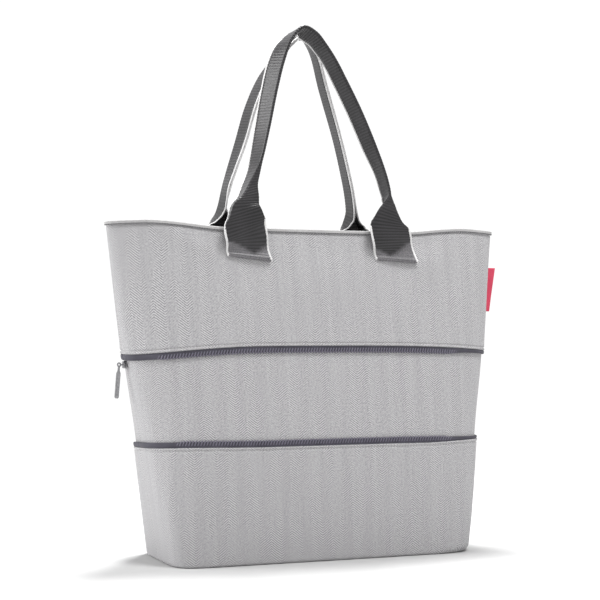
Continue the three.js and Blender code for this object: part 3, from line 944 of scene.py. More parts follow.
@dataclass(frozen=True)
class ClothWall(SubAssembly):
    """A ring of herringbone cloth, with its edges folded, turned under or bound."""

    piece: str
    node: str
    bottom: float
    top: float
    bottom_edge: Edge
    top_edge: Edge
    offset: float = 0.0
    row_step: float = 3.0
    inner_rows: int = 14
    hem_radius: float = 3.0
    hem_steps: int = 7
    hem_extra: float = 6.0
    hem_power: int = 3
    climb_reach: float = 38.0
    flare: float = 0.167
    pucker: float = 0.22
    pucker_length: float = 19.0
    pucker_reach: float = 9.0
    pucker_drift: float = 1.7
    pucker_drift_waves: float = 4.3
    # Distance from a folded edge, and how far the cloth stands out there: a rolled fold, the
    # groove that its stitches pull, and a slight swell beyond
    fold: tuple[Pair, ...] = (
        (0.0, -0.6), (0.12, 0.0), (0.5, 0.42), (1.2, 0.6), (1.9, 0.42), (2.4, -0.2),
        (2.8, -0.85), (3.2, -0.8), (4.0, 0.0), (5.4, 0.16), (7.5, 0.08),
    )
    # The same below the rim binding, where its lower edge presses the cloth in
    pressed: tuple[Pair, ...] = ((0.0, 0.0), (2.2, -0.2), (2.9, -0.9), (3.6, -0.8), (4.8, -0.1))
    stitch_distance: float = 2.9
    stitch_push: float = -0.8

    @property
    def folds(self) -> list[tuple[float, int]]:
        """Level of each folded edge, and 1 where the panel lies above it or -1 where below."""
        edges = ((self.bottom_edge, self.bottom, 1), (self.top_edge, self.top, -1))
        return [(level, inwards) for edge, level, inwards in edges if edge is Edge.FOLD]

    def edge_rows(self, edge: Edge, level: float, inwards: int) -> list[Pair]:
        """Rows of the outside near an edge, from the edge into the panel.

        Args:
            edge: How the wall ends there.
            level: Level of the edge.
            inwards: 1 where the panel lies above the edge, -1 where it lies below.

        Returns:
            Level and offset of each row.
        """
        if edge is Edge.HEM:
            r, turn = self.hem_radius, np.radians(np.linspace(0, 90, self.hem_steps))
            arc = [(r * (1 - math.cos(t)), r * (math.sin(t) - 1)) for t in turn]
            return [(level, -r - WALL), *arc]
        shapes = {Edge.FOLD: self.fold, Edge.BOUND: self.pressed, Edge.PLAIN: ((0.0, 0.0),)}
        return [(level + inwards * away, self.offset + push) for away, push in shapes[edge]]

    def rows(self) -> list[tuple[float, Array]]:
        """Rows round the wall's cross-section, up the outside and down the inside.

        Returns:
            Level of each row, and its offset at each station.
        """
        lower = self.edge_rows(self.bottom_edge, self.bottom, 1)
        upper = self.edge_rows(self.top_edge, self.top, -1)[::-1]
        first, last = lower[-1][0], upper[0][0]
        steps = max(round((last - first) / self.row_step), 1)
        between = [(float(v), self.offset) for v in np.linspace(first, last, steps + 1)[1:-1]]
        floor = self.hem_radius if self.bottom_edge is Edge.HEM else self.bottom
        inner_levels = np.linspace(self.top, floor, self.inner_rows)
        inside = [(float(level), self.offset - WALL) for level in inner_levels]
        return [
            (level, push + self.puckers(level) + self.settle(level)[0])
            for level, push in [*lower, *between, *upper, *inside]
        ]

    def settle(self, level: float) -> tuple[Array, Array]:
        """Shapes the hemmed wall's label end: a rounder hem, and a fold that climbs over the zip.

        Args:
            level: Level of a row.

        Returns:
            How much further out and how much higher the row lies at each station.
        """
        share = self.form.label_share(level)
        if self.bottom_edge is not Edge.HEM:
            return 0 * share, 0 * share
        turned = min(level / self.hem_radius, 1.0)
        rounder = self.hem_extra * share**self.hem_power
        eased = max(1 - max(level - self.hem_radius, 0) / self.climb_reach, 0.0)
        near_top = max(1 - (self.top - level) / self.climb_reach, 0.0)
        fold = self.form.fold_rise * share * near_top**2
        drawn_in = rounder * (math.sqrt(1 - (1 - turned) ** 2) - 1)
        return drawn_in + self.flare * fold * share, rounder * turned * eased + fold

    def puckers(self, level: float) -> Array:
        """Makes the small upright waves that the stitching leaves beside a folded edge.

        Args:
            level: Level of a row.

        Returns:
            How far the row stands out at each station.
        """
        run = self.form.ring(level, 0.0)[1][:, 0]
        drift = np.sin(TURN * run / (self.pucker_drift_waves * self.pucker_length))
        wave = np.sin(TURN * run / self.pucker_length + self.pucker_drift * drift)
        height = 0.0
        for edge_level, _ in self.folds:
            away = abs(level - edge_level) / self.pucker_reach
            height += self.pucker * away * math.exp(1 - away)
        return height * wave

    def build(self) -> None:
        """Builds and dresses the wall and the stitches beside its zip."""
        rows = self.rows()
        climb = np.stack([self.settle(level)[1] for level, _ in rows])
        wall = self.form.loft(self.piece, rows, climb)
        dress(wall, self.finishes.cloth, Body.BAG, [self.node])
        for edge_level, inwards in self.folds:
            level = edge_level + inwards * self.stitch_distance
            push, climb = self.settle(level)
            offset = self.offset + self.stitch_push + self.puckers(level) + push
            line = self.form.ring(level, offset)[0]
            line[:, 2] += climb
            out = self.form.ring(level, 1.0)[0] - self.form.ring(level, 0.0)[0]
            stitches = Stitches().sew(f"{self.piece}_stitches", [(line, out, True)])
            dress(stitches, self.finishes.thread, Body.BAG)
        girth = self.form.girth((self.bottom + self.top) / 2)


@dataclass(frozen=True)
class BasePanel(SubAssembly):
    """The stiff floor of the bag, covered in the same cloth, inside the turned hem."""

    inset: float = 5.3
    end_inset: float = 6.0
    end_power: int = 3
    thickness: float = 2.5
    crown: float = 0.5
    corner: float = 0.7
    shares: tuple[float, ...] = (0.85, 0.6, 0.35, 0.12)

    def build(self) -> None:
        """Builds and dresses the floor."""
        inset = self.inset + self.end_inset * self.form.label_share(0.0) ** self.end_power
        edge, tight = (
            self.form.ring(0.0, offset)[0] * (1, 1, 0) for offset in (-inset, -inset - self.corner)
        )
        # Ring, its size as a share, and its height: under the floor, round its edge and over it
        rows = [
            *((tight, s, 0.0) for s in self.shares[::-1]),
            (tight, 1, 0.0),
            (edge, 1, self.corner),
            (edge, 1, self.thickness - self.corner),
            (tight, 1, self.thickness),
            *((tight, s, self.thickness + self.crown * (1 - s * s)) for s in self.shares),
        ]
        rings = np.concatenate([ring * (s, s, 1) + (0, 0, z) for ring, s, z in rows])
        points = np.concatenate([rings, [(0, 0, 0.0), (0, 0, self.thickness + self.crown)]])
        count = self.form.stations
        faces = loft_faces(len(rows), count, True)[:-count]
        low, high, top = len(rings), len(rings) + 1, len(rings) - count
        for i in range(count):
            j = (i + 1) % count
            faces += [(low, j, i), (high, top + i, top + j)]
        panel = make_mesh("base_board", points, faces, points[:, :2])
        dress(panel, self.finishes.cloth, Body.BAG, ["base_panel"])


@dataclass(frozen=True)
class RimBinding(SubAssembly):
    """The bound edge of the mouth: a narrow folded strip over the top of the wall."""

    height: float = 2.6
    thickness: float = 1.0
    corner: float = 1.0
    corner_steps: int = 5
    corner_power: float = 0.6
    lip: float = 0.35
    lip_round: float = 0.3
    lip_rise: float = 0.4
    puff: float = 0.22
    puff_length: float = 7.0
    puff_margin: float = 0.1
    stitch_rise: float = 0.1
    stitches: Stitches = Stitches(length=2.75, pitch=2.8, radius=0.42)

    def build(self) -> None:
        """Builds and dresses the binding and its stitches."""
        outside, inside = GAP, -WALL - GAP
        outer, inner = outside + self.thickness, inside - self.thickness
        foot, seat = RIM_LEVEL - self.height, RIM_LEVEL + GAP
        shoulder = seat + self.thickness - self.corner
        middle, wide = (outer + inner) / 2, (outer - inner) / 2
        arc = [
            (shoulder + self.corner * math.sin(t), wide * math.cos(t) ** self.corner_power)
            for t in np.radians(np.linspace(0, 90, self.corner_steps))
        ]
        # Outer lip, over the top, inner lip, and the hollow that takes the wall
        rows = [
            (foot, outside + self.lip),
            (foot, outer - self.lip_round),
            (foot + self.lip_rise, outer),
            *((level, middle + reach) for level, reach in arc),
            *((level, middle - reach) for level, reach in arc[-2::-1]),
            (foot + self.lip_rise, inner),
            (foot, inner + self.lip_round),
            (foot, inside - self.lip),
            (foot + self.lip_round, inside), (seat, inside),
            (seat, outside), (foot + self.lip_round, outside),
        ]
        run = self.form.ring(RIM_LEVEL, 0.0)[1][:, 0]
        puff = self.puff * np.sin(TURN * run / self.puff_length)
        binding = self.form.loft("mouth_binding", [
            (level, push + (puff if push >= outer - self.puff_margin else 0.0))
            for level, push in rows
        ])
        dress(binding, self.finishes.binding, Body.BAG, ["rim_binding"])
        # Painted shade: this close, thick row of dark thread under the binding is real stitching
        # and also stands in for the shade line beneath it
        level = foot + self.stitch_rise
        line = self.form.ring(level, outer)[0]
        out = self.form.ring(level, outer + 1)[0] - line
        sewn = self.stitches.sew("mouth_stitches", [(line, out, True)])
        dress(sewn, self.finishes.dark_and_shade_thread, Body.BAG)


@dataclass(frozen=True)
class ZipHalf(SubAssembly):
    """One half of the open zip: a woven tape beside the cloth, with a coil along its free edge.

    At both ends of the bag the tape folds over the coil.
    """

    name: str
    seam: float
    away: int
    tape_height: float = 6.4
    tape_inset: float = 0.5
    tape_thickness: float = 1.2
    tape_rows: int = 25
    tape_inner_rows: int = 5
    rib: float = 1.35
    rib_depth: float = 0.1
    tooth_pitch: float = 3.3
    tooth_root: float = 0.72
    tooth_head: float = 0.9
    tooth_thickness: float = 2.4
    tooth_start: float = 2.4
    tooth_end: float = 8.0
    tooth_lift: float = 0.45
    tooth_slant: float = 2.2
    # Half width and height of a tooth's outline, as shares of its root or head and of its reach
    root_outline: tuple[Pair, ...] = ((0.5, 0.0), (1.0, 0.1), (1.0, 0.6))
    head_outline: tuple[Pair, ...] = ((1.0, 0.72), (1.0, 0.9), (0.55, 1.0))
    # How far each layer of a tooth is drawn in, as a share of the inset, and its height
    tooth_layers: tuple[Pair, ...] = ((0.6, 0.0), (0.0, 0.3), (0.0, 0.65), (1.0, 1.0))
    tooth_inset: float = 0.4
    tooth_inset_share: float = 0.12
    tooth_core: float = 0.3
    slider_cover: Pair = (0.84, 0.91)
    label_cover: Pair = (0.68, 0.82)
    cover_roll: float = 0.9
    cover_reach: float = -0.2
    cover_short: float = 0.75
    back_corner: Pair = (0.1, 0.8)
    corner_turn: float = 1.7
    label_turn: float = 0.0

    def cover(self) -> Array:
        """Returns how far the tape is folded over the coil at each station."""
        x = self.form.across(self.seam)
        return smoothstep(-x, *self.slider_cover) + smoothstep(x, *self.label_cover)

    def build_tape(self) -> None:
        """Builds and dresses the tape."""
        cover, label_share = self.cover(), self.form.label_share(self.seam)
        under = self.form.fold_rise * label_share if self.away > 0 else 0.0
        depth = self.form.section_at(self.seam).half_depth
        y = self.form.ring(self.seam, 0.0)[0][:, 1] / depth
        turned = self.corner_turn * smoothstep(y, *self.back_corner) + self.label_turn * label_share
        reach = self.away * (self.cover_reach - turned) * cover
        share = np.linspace(0, 1, self.tape_rows)
        rise = -self.rib_depth * (1 - np.cos(TURN * share * self.tape_height / self.rib)) / 2
        roll = self.cover_roll * np.sqrt(4 * share * (1 - share))
        outside = [(s, r - self.tape_inset + fold * cover) for s, r, fold in zip(share, rise, roll)]
        back = -self.tape_inset - self.tape_thickness
        sides = outside + [(s, back) for s in np.linspace(1, 0, self.tape_inner_rows)]
        rows = [(self.seam + self.away * (GAP + s * self.tape_height), push) for s, push in sides]
        climb = np.stack([reach * s + under * (1 - s) for s, _ in sides])
        tape = self.form.loft(f"{self.name}_zip_tape", rows, climb)
        for corner in tape.data.uv_layers[WEAVE].data:
            corner.uv = corner.uv[1], corner.uv[0]
        dress(tape, self.finishes.tape, Body.BAG, [f"zip_tape_{self.name}"])

    def tooth(self) -> tuple[Array, Faces]:
        """Makes one turn of the coil: along the zip, away from the tape and outwards.

        Returns:
            Its points and faces.
        """
        reach = self.tooth_end - self.tooth_start
        half = [(-w * self.tooth_root, h * reach) for w, h in self.root_outline]
        half += [(-w * self.tooth_head, h * reach) for w, h in self.head_outline]
        outline = np.array(half + [(-x, h) for x, h in half[::-1]])
        from_middle = outline - np.array([0.0, 0.5 * reach])
        inset = np.array([self.tooth_inset, self.tooth_inset_share * reach])
        rings = []
        for share, rise in self.tooth_layers:
            beyond_core = np.abs(from_middle) > self.tooth_core
            flat = outline - np.sign(from_middle) * inset * share * beyond_core
            flat[:, 0] += self.tooth_slant * (flat[:, 1] / reach - 0.5)
            height = self.tooth_lift + self.tooth_thickness * (rise - 1)
            rings.append(np.column_stack([flat, np.full(len(flat), height)]))
        return np.concatenate(rings), loft_faces(len(rings), len(outline), False)

    def build_teeth(self) -> None:
        """Builds and dresses the coil, with its turns drawn in where the tape covers them."""
        root, tip = (
            close_ring(self.form.ring(self.seam + self.away * reach, 0.0)[0])
            for reach in (self.tooth_start, self.tooth_end)
        )
        run = run_along(root)
        count = round(run[-1] / self.tooth_pitch)
        at = (np.arange(count) + 0.5) * run[-1] / count
        ahead, behind = (at + PROBE) % run[-1], (at - PROBE) % run[-1]
        place = read_line(run, root, at)
        rise = unit(read_line(run, tip, at) - place)
        along = unit(read_line(run, root, ahead) - read_line(run, root, behind))
        out = unit(np.cross(along, rise)) * self.away
        along = np.cross(rise, out)
        hidden = read_line(run, close_ring(self.cover()[:, None]), at)
        place -= out * self.cover_roll * hidden
        rise *= 1 - self.cover_short * hidden
        teeth = scatter(*self.tooth(), place, np.stack([along, rise, out], axis=1))
        coil = make_mesh(f"{self.name}_zip_teeth", *teeth)
        dress(coil, self.finishes.teeth, Body.BAG, [f"zip_teeth_{self.name}"])

    def build(self) -> None:
        """Builds and dresses the tape and the coil."""
        self.build_tape()
        self.build_teeth()


RouteRow = tuple[float, float | None, float, float, float, float, float, float]
ON_PANEL = None
OPEN = 25.0
SHUT = 0.15


@dataclass(frozen=True)
class Stations:
    """Stations along a handle: run, place, directions, and the fold of the strap."""

    run: Array
    place: Array
    inward: Array
    across: Array
    fold: Array
    flat: Array
    skew: Array

    @property
    def from_end(self) -> Array:
        """Distance of each station from the nearer end of the strap."""
        return np.minimum(self.run, self.run[-1] - self.run)


@dataclass(frozen=True)
class WebbingHandle(SubAssembly):
    """A webbing handle: flat where its feet are sewn on, folded like a book above them.

    A route row gives x, y and z of the strap's middle, its twist and lean in degrees, the angle
    that its two flaps are folded back by, how far from the middle line they are creased, and the
    skew of its ribs. The crease is OPEN where the strap is flat and SHUT where it is folded in two.
    Where y is ON_PANEL, the strap lies on the panel.
    """

    name: str
    side: Side
    route: tuple[RouteRow, ...]
    width: float = 50.0
    thickness: float = 1.4
    crease: float = 0.8
    route_steps: int = 60
    route_probe: float = 1e-3
    face_columns: int = 3
    flap_columns: int = 12
    flap_least: float = 4.0
    flap_power: int = 2
    rib: float = 3.4
    rib_height: float = 0.2
    rows_per_rib: int = 4
    rear_ribs: Pair = (30.0, 44.0)
    edging: float = 2.7
    edging_cover: float = 0.6
    edging_puff: float = 0.15
    edging_sides: int = 12
    edging_power: float = 0.7
    edging_pick: float = 0.02
    edging_drop: float = 0.8
    edging_wrap: float = 3.0
    picks_per_rib: int = 2
    foot_drop: float = 4.0
    foot_clearance: float = 0.8
    rim_clearance: float = 1.7
    rim_lift: Pair = (RIM_LEVEL - 14, RIM_LEVEL - 4)
    hem: float = 5.0
    hem_blend: float = 1.0
    hem_lift: float = 0.7
    hem_round: float = 1.2
    end_spread: float = 0.01
    spread_reach: float = 40.0
    # The painted highlight on the flat, pressed part of a foot ends in a V: its lowest point across
    # and above the end, its slope
    pressed_middle: float = 6.0
    highlight_rise: float = 6.0
    highlight_slope: float = 0.62
    highlight_blend: float = 3.0
    stitch_rise: float = 2.6
    stitch_step: float = 0.2
    stitch_columns: int = 41
    stitch_inset: float = 0.6
    stitch_proud: float = 0.05
    stitches: Stitches = Stitches(length=2.4, pitch=3.2, radius=0.25)

    def foot_reach(self, x: float, z: float) -> float:
        """Works out how far out the strap's middle lies where it is on the panel.

        Args:
            x: Place across the bag.
            z: Height of the strap's middle.

        Returns:
            The distance from the middle of the bag.
        """
        level = min(z, RIM_LEVEL) - self.foot_drop
        places = (x - self.width / 2, x, x + self.width / 2)
        panel = max(self.form.panel_reach(place, level, self.side) for place in places)
        over_rim = float(smoothstep(z, *self.rim_lift))
        clearance = self.foot_clearance + (self.rim_clearance - self.foot_clearance) * over_rim
        return panel + clearance + self.thickness / 2

    def curve(self, knots: Array, at: Array) -> Array:
        """Reads a centripetal curve through knots.

        Args:
            knots: Points of the route.
            at: Places along it, counted in knots.

        Returns:
            Points of the curve.
        """
        padded = np.concatenate([[2 * knots[0] - knots[1]], knots, [2 * knots[-1] - knots[-2]]])
        i = np.minimum(at.astype(int), len(knots) - 2)
        p0, p1, p2, p3 = (padded[i + k] for k in range(4))
        d0, d1, d2 = (
            np.sqrt(np.linalg.norm(b - a, axis=1, keepdims=True))
            for a, b in ((p0, p1), (p1, p2), (p2, p3))
        )
        start = ((p1 - p0) / d0 - (p2 - p0) / (d0 + d1) + (p2 - p1) / d1) * d1
        end = ((p2 - p1) / d1 - (p3 - p1) / (d1 + d2) + (p3 - p2) / d2) * d1
        t = (at - i)[:, None]
        cubic = 2 * p1 - 2 * p2 + start + end
        square = -3 * p1 + 3 * p2 - 2 * start - end
        return p1 + t * (start + t * (square + t * cubic))

    def stations(self, step: float) -> Stations:
        """Places stations at even steps along the strap.

        Args:
            step: Distance between stations.

        Returns:
            The stations.
        """
        side, probe = self.side.value, self.route_probe
        knots = np.array([
            (x, side * self.foot_reach(x, z) if y is ON_PANEL else y, z)
            for x, y, z, *_ in self.route
        ])
        fine = np.linspace(0, len(knots) - 1, self.route_steps * len(knots))
        length = run_along(self.curve(knots, fine))
        run = np.linspace(0, length[-1], round(length[-1] / step) + 1)
        at = np.interp(run, length, fine)
        keys = np.arange(len(knots), dtype=float)
        twist, lean, fold, flat, skew = (
            read_column(keys, np.array(column, float), at) for column in list(zip(*self.route))[3:]
        )
        twist, lean = np.radians(twist), np.radians(lean)
        ahead, behind = np.minimum(at + probe, keys[-1]), np.maximum(at - probe, 0)
        along = unit(self.curve(knots, ahead) - self.curve(knots, behind))
        level = np.cos(lean)
        facing = [side * np.sin(twist) * level, -side * np.cos(twist) * level, -np.sin(lean)]
        inward = square_to(np.stack(facing, axis=1), along)
        return Stations(
            run, self.curve(knots, at), inward, np.cross(inward, along),
            np.radians(np.maximum(fold, 0)), np.maximum(flat, SHUT), np.tan(np.radians(skew)),
        )

    def surface(self, at: Stations, distance: Array, lift: Array) -> Array:
        """Points of the strap.

        Args:
            at: Stations along it.
            distance: Signed distance from its middle line, for each column or each point.
            lift: Height above its middle layer.

        Returns:
            A grid of points, a row for each station.
        """
        flat, fold, reach = at.flat[:, None], at.fold[:, None], np.abs(distance)
        bend = np.clip((reach - flat) / self.crease, 0, fold)
        flap = np.maximum(reach - flat - self.crease * fold, 0)
        level = np.minimum(reach, flat) + self.crease * np.sin(bend)
        spread = 1 + self.end_spread * (1 - smoothstep(at.from_end[:, None], 0, self.spread_reach))
        sideways = spread * np.sign(distance) * (level + flap * np.cos(fold) + lift * np.sin(bend))
        back = self.crease * (1 - np.cos(bend)) + flap * np.sin(fold) - lift * np.cos(bend)
        slide = at.skew[:, None] * np.clip(distance, -flat, flat)
        along = np.cross(at.across, at.inward)
        parts = ((at.across, sideways), (at.inward, back), (along, slide))
        return at.place[:, None] + sum(axis[:, None] * part[..., None] for axis, part in parts)

    def foot_lift(self, at: Stations) -> Array:
        """Works out how much thicker the strap is where its ends are turned under.

        Args:
            at: Stations along it.

        Returns:
            The extra height at each, below zero where the end is rounded off.
        """
        turned = 1 - smoothstep(at.from_end, self.hem - self.hem_blend, self.hem)
        short = 1 - np.minimum(at.from_end / self.hem_round, 1)
        rounded = np.sqrt(np.clip(1 - short**2, 0, 1))
        return self.hem_lift * turned - (1 - rounded) * self.hem_round

    def build_strap(self) -> Piece:
        """Builds and dresses the ribbed strap, with a painted highlight on its flat sewn feet.

        Returns:
            The strap.
        """
        at = self.stations(self.rib / self.rows_per_rib)
        half = self.width / 2 - self.edging_cover * self.edging
        split = np.minimum(at.flat, half - self.flap_least)[:, None]
        face = split * np.linspace(0, 1, self.face_columns + 1)
        shares = np.linspace(0, 1, self.flap_columns + 1)[1:] ** self.flap_power
        flap = split + (half - split) * shares
        columns = np.concatenate([-flap[:, ::-1], -face[:, :0:-1], face, flap], axis=1)
        ribs = self.rib_height * np.cos(TURN * at.run / self.rib) / 2
        ribbed = smoothstep(at.from_end, self.hem - self.hem_blend, self.hem + self.hem_blend)
        outer = self.thickness / 2 + ribs * ribbed + self.foot_lift(at)
        inner = -self.thickness / 2 - ribs * smoothstep(at.from_end, *self.rear_ribs)
        distance = np.concatenate([columns, columns[:, ::-1]], axis=1)
        lift = np.repeat(np.stack([outer, inner], axis=1), columns.shape[1], axis=1)
        points = self.surface(at, distance, lift)
        weave = np.stack(np.broadcast_arrays(distance, at.run[:, None]), axis=2)
        strap = make_mesh(f"{self.name}_strap", points, loft_faces(*points.shape[:2], False), weave)
        # Painted highlight: the pressed attribute marks where each foot lies flat, up to a V above
        # its end, and the webbing finish paints it paler there
        edge = self.highlight_rise + self.highlight_slope * np.abs(distance - self.pressed_middle)
        beyond = at.from_end[:, None] - edge
        pressed = 1 - smoothstep(beyond, -self.highlight_blend, self.highlight_blend)
        layer = strap.data.attributes.new(PAINTED_HIGHLIGHT, "FLOAT", "POINT")
        layer.data.foreach_set("value", pressed.ravel())
        return dress(strap, self.finishes.webbing, Body.BAG, [self.name])

    def build_edging(self) -> Piece:
        """Builds and dresses the pale selvedges along both edges.

        Returns:
            Both selvedges as one piece.
        """
        at = self.stations(self.rib / self.picks_per_rib)
        angles = np.arange(self.edging_sides) * TURN / self.edging_sides
        cosine, sine = np.cos(angles), np.sin(angles)
        middle, wide = self.width / 2 - self.edging / 2, self.edging / 2
        high = self.thickness / 2 + self.edging_puff
        reach = middle + wide * np.sign(cosine) * np.abs(cosine) ** self.edging_power
        height = high * np.sign(sine) * np.abs(sine) ** self.edging_power
        pick = 1 + self.edging_pick * np.where(np.arange(len(at.run)) % 2 == 0, 1, -1)
        ends = self.foot_lift(at)
        ends = ends * np.where(ends > 0, 1, self.edging_drop)
        lift = height[None, :] * pick[:, None] + np.where(sine > 0, 1, 0)[None, :] * ends[:, None]
        faces = loft_faces(*lift.shape, False)
        strips, weaves = [], []
        for hand in (-1, 1):
            distance = np.broadcast_to(hand * reach[None, :], lift.shape)
            strips.append((self.surface(at, distance, lift), [face[::hand] for face in faces]))
            round_edge = distance + self.edging_wrap * sine
            weaves.append(np.stack(np.broadcast_arrays(round_edge, at.run[:, None]), axis=2))
        edging = make_mesh(f"{self.name}_selvedge", *gather(strips), np.concatenate(weaves))
        return dress(edging, self.finishes.selvedge, Body.BAG)

    def build_stitches(self) -> Piece:
        """Sews the turned ends of the strap to the panel.

        Returns:
            The stitches.
        """
        at = self.stations(self.stitch_step)
        half = self.width / 2 - self.edging - self.stitch_inset
        columns = np.linspace(-1, 1, self.stitch_columns) * half
        proud = self.thickness / 2 + self.hem_lift + self.stitch_proud
        height = np.full((len(at.run), len(columns)), proud)
        grid = self.surface(at, np.broadcast_to(columns, height.shape), height)
        first = int(self.stitch_rise / self.stitch_step)
        lines = [
            (grid[row], np.broadcast_to(-at.inward[row], grid[row].shape), False)
            for row in (first, len(at.run) - 1 - first)
        ]
        sewn = self.stitches.sew(f"{self.name}_stitches", lines)
        return dress(sewn, self.finishes.dark_and_shade_thread, Body.BAG)

    def build(self) -> None:
        """Builds and dresses the strap, its selvedges and its stitches."""
        strap = self.build_strap()
        trims = [self.build_edging(), self.build_stitches()]
        length = float(self.stations(self.rib).run[-1])


FRONT_ROUTE: tuple[RouteRow, ...] = (
    (-85.2, ON_PANEL, 334, 0, 0, 0, OPEN, -17),
    (-87, ON_PANEL, 344, 0, 0, 0, OPEN, -14),
    (-89.4, -38.5, 356, 0, 0, 8, 24.5, -5),
    (-92.6, -41.8, 368, 0, 0, 45, 24, 10),
    (-93.2, -43, 380, 0, 0, 86, 19.6, 16),
    (-92.4, -42.5, 391, 0, 0, 92, 13.9, 26),
    (-86.5, -40, 404, 2, 0, 91, 8.2, 36),
    (-81.5, -37, 417, 4, 0, 90, 4, 36),
    (-75.5, -35, 431, 7, 0, 90, 1.8, 22),
    (-70, -34, 446, 15, 0, 90, SHUT, 0),
    (-60, -31, 483, 23, 0, 90, SHUT, 0),
    (-50, -28, 525, 28, 2, 90, SHUT, 0),
    (-40.5, -26, 559, 31, 8, 90, SHUT, 0),
    (-31, -25, 583, 22, 14, 90, SHUT, 0),
    (-16, -24.5, 599.5, 12, 18, 90, SHUT, 0),
    (-1, -24.5, 594, 6, 24, 90, SHUT, 0),
    (11, -25, 580.5, 6, 18, 90, SHUT, 0),
    (23, -25.5, 563.5, 11, 8, 90, SHUT, 0),
    (33, -26.5, 545.5, 15, 2, 90, SHUT, 0),
    (52, -29.5, 508, 17, 0, 90, SHUT, 0),
    (68, -32.5, 470.5, 15, 0, 90, SHUT, 0),
    (79.5, -35, 439, 5, 0, 90, SHUT, 0),
    (84.5, -36, 421, 2, 0, 90, SHUT, 0),
    (85.5, -37.5, 411, -2, 0, 94, SHUT, 0),
    (84, -39.3, 401, -8, 0, 106, 5.2, -8),
    (82.5, -41, 391, -8, 0, 110, 10.6, -14),
    (82.4, -41, 381, -4, 0, 104, 16.4, -14),
    (83.8, -40.4, 372, 0, 0, 60, 23.2, -14),
    (87.2, -38.4, 360, 0, 0, 12, 24.6, -16),
    (92, ON_PANEL, 346, 0, 0, 0, OPEN, -18),
    (95, ON_PANEL, 334, 0, 0, 0, OPEN, -18),
)
BACK_ROUTE: tuple[RouteRow, ...] = (
    (-94, ON_PANEL, 334, 0, 0, 0, OPEN, 0),
    (-94, ON_PANEL, 352, 0, 0, 0, OPEN, 0),
    (-94, 46, 372, 0, 0, 50, 13, 0),
    (-94, 45, 380, 0, 0, 74, 10, 0),
    (-94, 42, 388, 0, 0, 88, 6, 0),
    (-95, 38.5, 400, 0, 0, 96, 1.5, 0),
    (-93.5, 35.8, 416, 2, 0, 90, SHUT, 0),
    (-88, 34, 438, 6, 0, 90, SHUT, 0),
    (-78.5, 32, 471, 12, 0, 90, SHUT, 0),
    (-67, 29.5, 512, 12, 2, 90, SHUT, 0),
    (-52.5, 27.5, 545, 8, 8, 90, SHUT, 0),
    (-36.5, 26, 568, 4, 16, 90, SHUT, 0),
    (-24, 25, 588, 0, 22, 90, SHUT, 0),
    (-11, 24.5, 599.5, 0, 25, 90, SHUT, 0),
    (0, 24.5, 596, 0, 24, 90, SHUT, 0),
    (7, 25, 587.5, 0, 18, 90, SHUT, 0),
    (13.5, 25.5, 574, 0, 12, 90, SHUT, 0),
    (23.5, 27.5, 539.5, 0, 2, 90, SHUT, 0),
    (45, 32, 476.5, -2, 0, 90, SHUT, 0),
    (59, 35.5, 424, 0, 0, 90, SHUT, 0),
    (65, 38.5, 398, 0, 0, 92, 1.5, 0),
    (68, 42, 388, 0, 0, 94, 6, 0),
    (70, 45, 380, 0, 0, 78, 10, 0),
    (71, 46, 372, 0, 0, 52, 13, 0),
    (71.5, ON_PANEL, 352, 0, 0, 0, OPEN, 0),
    (71.5, ON_PANEL, 334, 0, 0, 0, OPEN, 0),
)


def activate(piece: Piece) -> None:
    """Selects one piece alone and makes it the active one.

    Args:
        piece: The piece.
    """
    bpy.ops.object.select_all(action="DESELECT")
    piece.select_set(True)
    bpy.context.view_layer.objects.active = piece


@contextmanager
def editing(piece: Piece) -> Iterator[None]:
    """Opens a piece in edit mode, with nothing selected, and closes it again.

    Args:
        piece: The piece.

    Yields:
        Nothing.
    """
    activate(piece)
    bpy.ops.object.mode_set(mode="EDIT")
    bpy.ops.mesh.select_all(action="DESELECT")
    try:
        yield
    finally:
        bpy.ops.object.mode_set(mode="OBJECT")


def select_faces(piece: Piece, test: Callable[[Vector, Vector], bool]) -> None:
    """Selects the faces of a piece in edit mode that pass a test.

    Args:
        piece: The piece in edit mode.
        test: Takes a face's middle in millimetres and its normal.
    """
    shape = bmesh.from_edit_mesh(piece.data)
    bpy.context.tool_settings.mesh_select_mode = (False, False, True)
    for face in shape.faces:
        face.select_set(test(face.calc_center_median() / MM, face.normal))
    shape.select_flush_mode()
    bmesh.update_edit_mesh(piece.data)


def select_edges(piece: Piece, test: Callable[[Vector], bool]) -> None:
    """Selects the edges of a piece in edit mode that pass a test.

    Args:
        piece: The piece in edit mode.
        test: Takes an edge's direction.
    """
    shape = bmesh.from_edit_mesh(piece.data)
    bpy.context.tool_settings.mesh_select_mode = (False, True, False)
    for edge in shape.edges:
        a, b = (v.co for v in edge.verts)
        edge.select_set(test((b - a).normalized()))
    bmesh.update_edit_mesh(piece.data)


def apply_place() -> Piece:
    """Puts the active piece's place, turn and scale into its mesh and returns it."""
    bpy.ops.object.transform_apply(location=True, rotation=True, scale=True)
    return bpy.context.active_object


def add_block(name: str, middle: Sequence[float], size: Sequence[float]) -> Piece:
    """Adds a cube at a place and size in millimetres, with both in its mesh.

    Args:
        name: Name of the piece.
        middle: Its middle.
        size: Its size along each axis.

    Returns:
        The block.
    """
    bpy.ops.object.select_all(action="DESELECT")
    place, scale = ([value * MM for value in values] for values in (middle, size))
    bpy.ops.mesh.primitive_cube_add(size=1, location=place, scale=scale)
    block = apply_place()
    block.name = block.data.name = name
    return block


def push_out(step: Sequence[float]) -> None:
    """Extrudes what is selected by a step in millimetres."""
    bpy.ops.mesh.extrude_region_move(TRANSFORM_OT_translate={"value": [s * MM for s in step]})


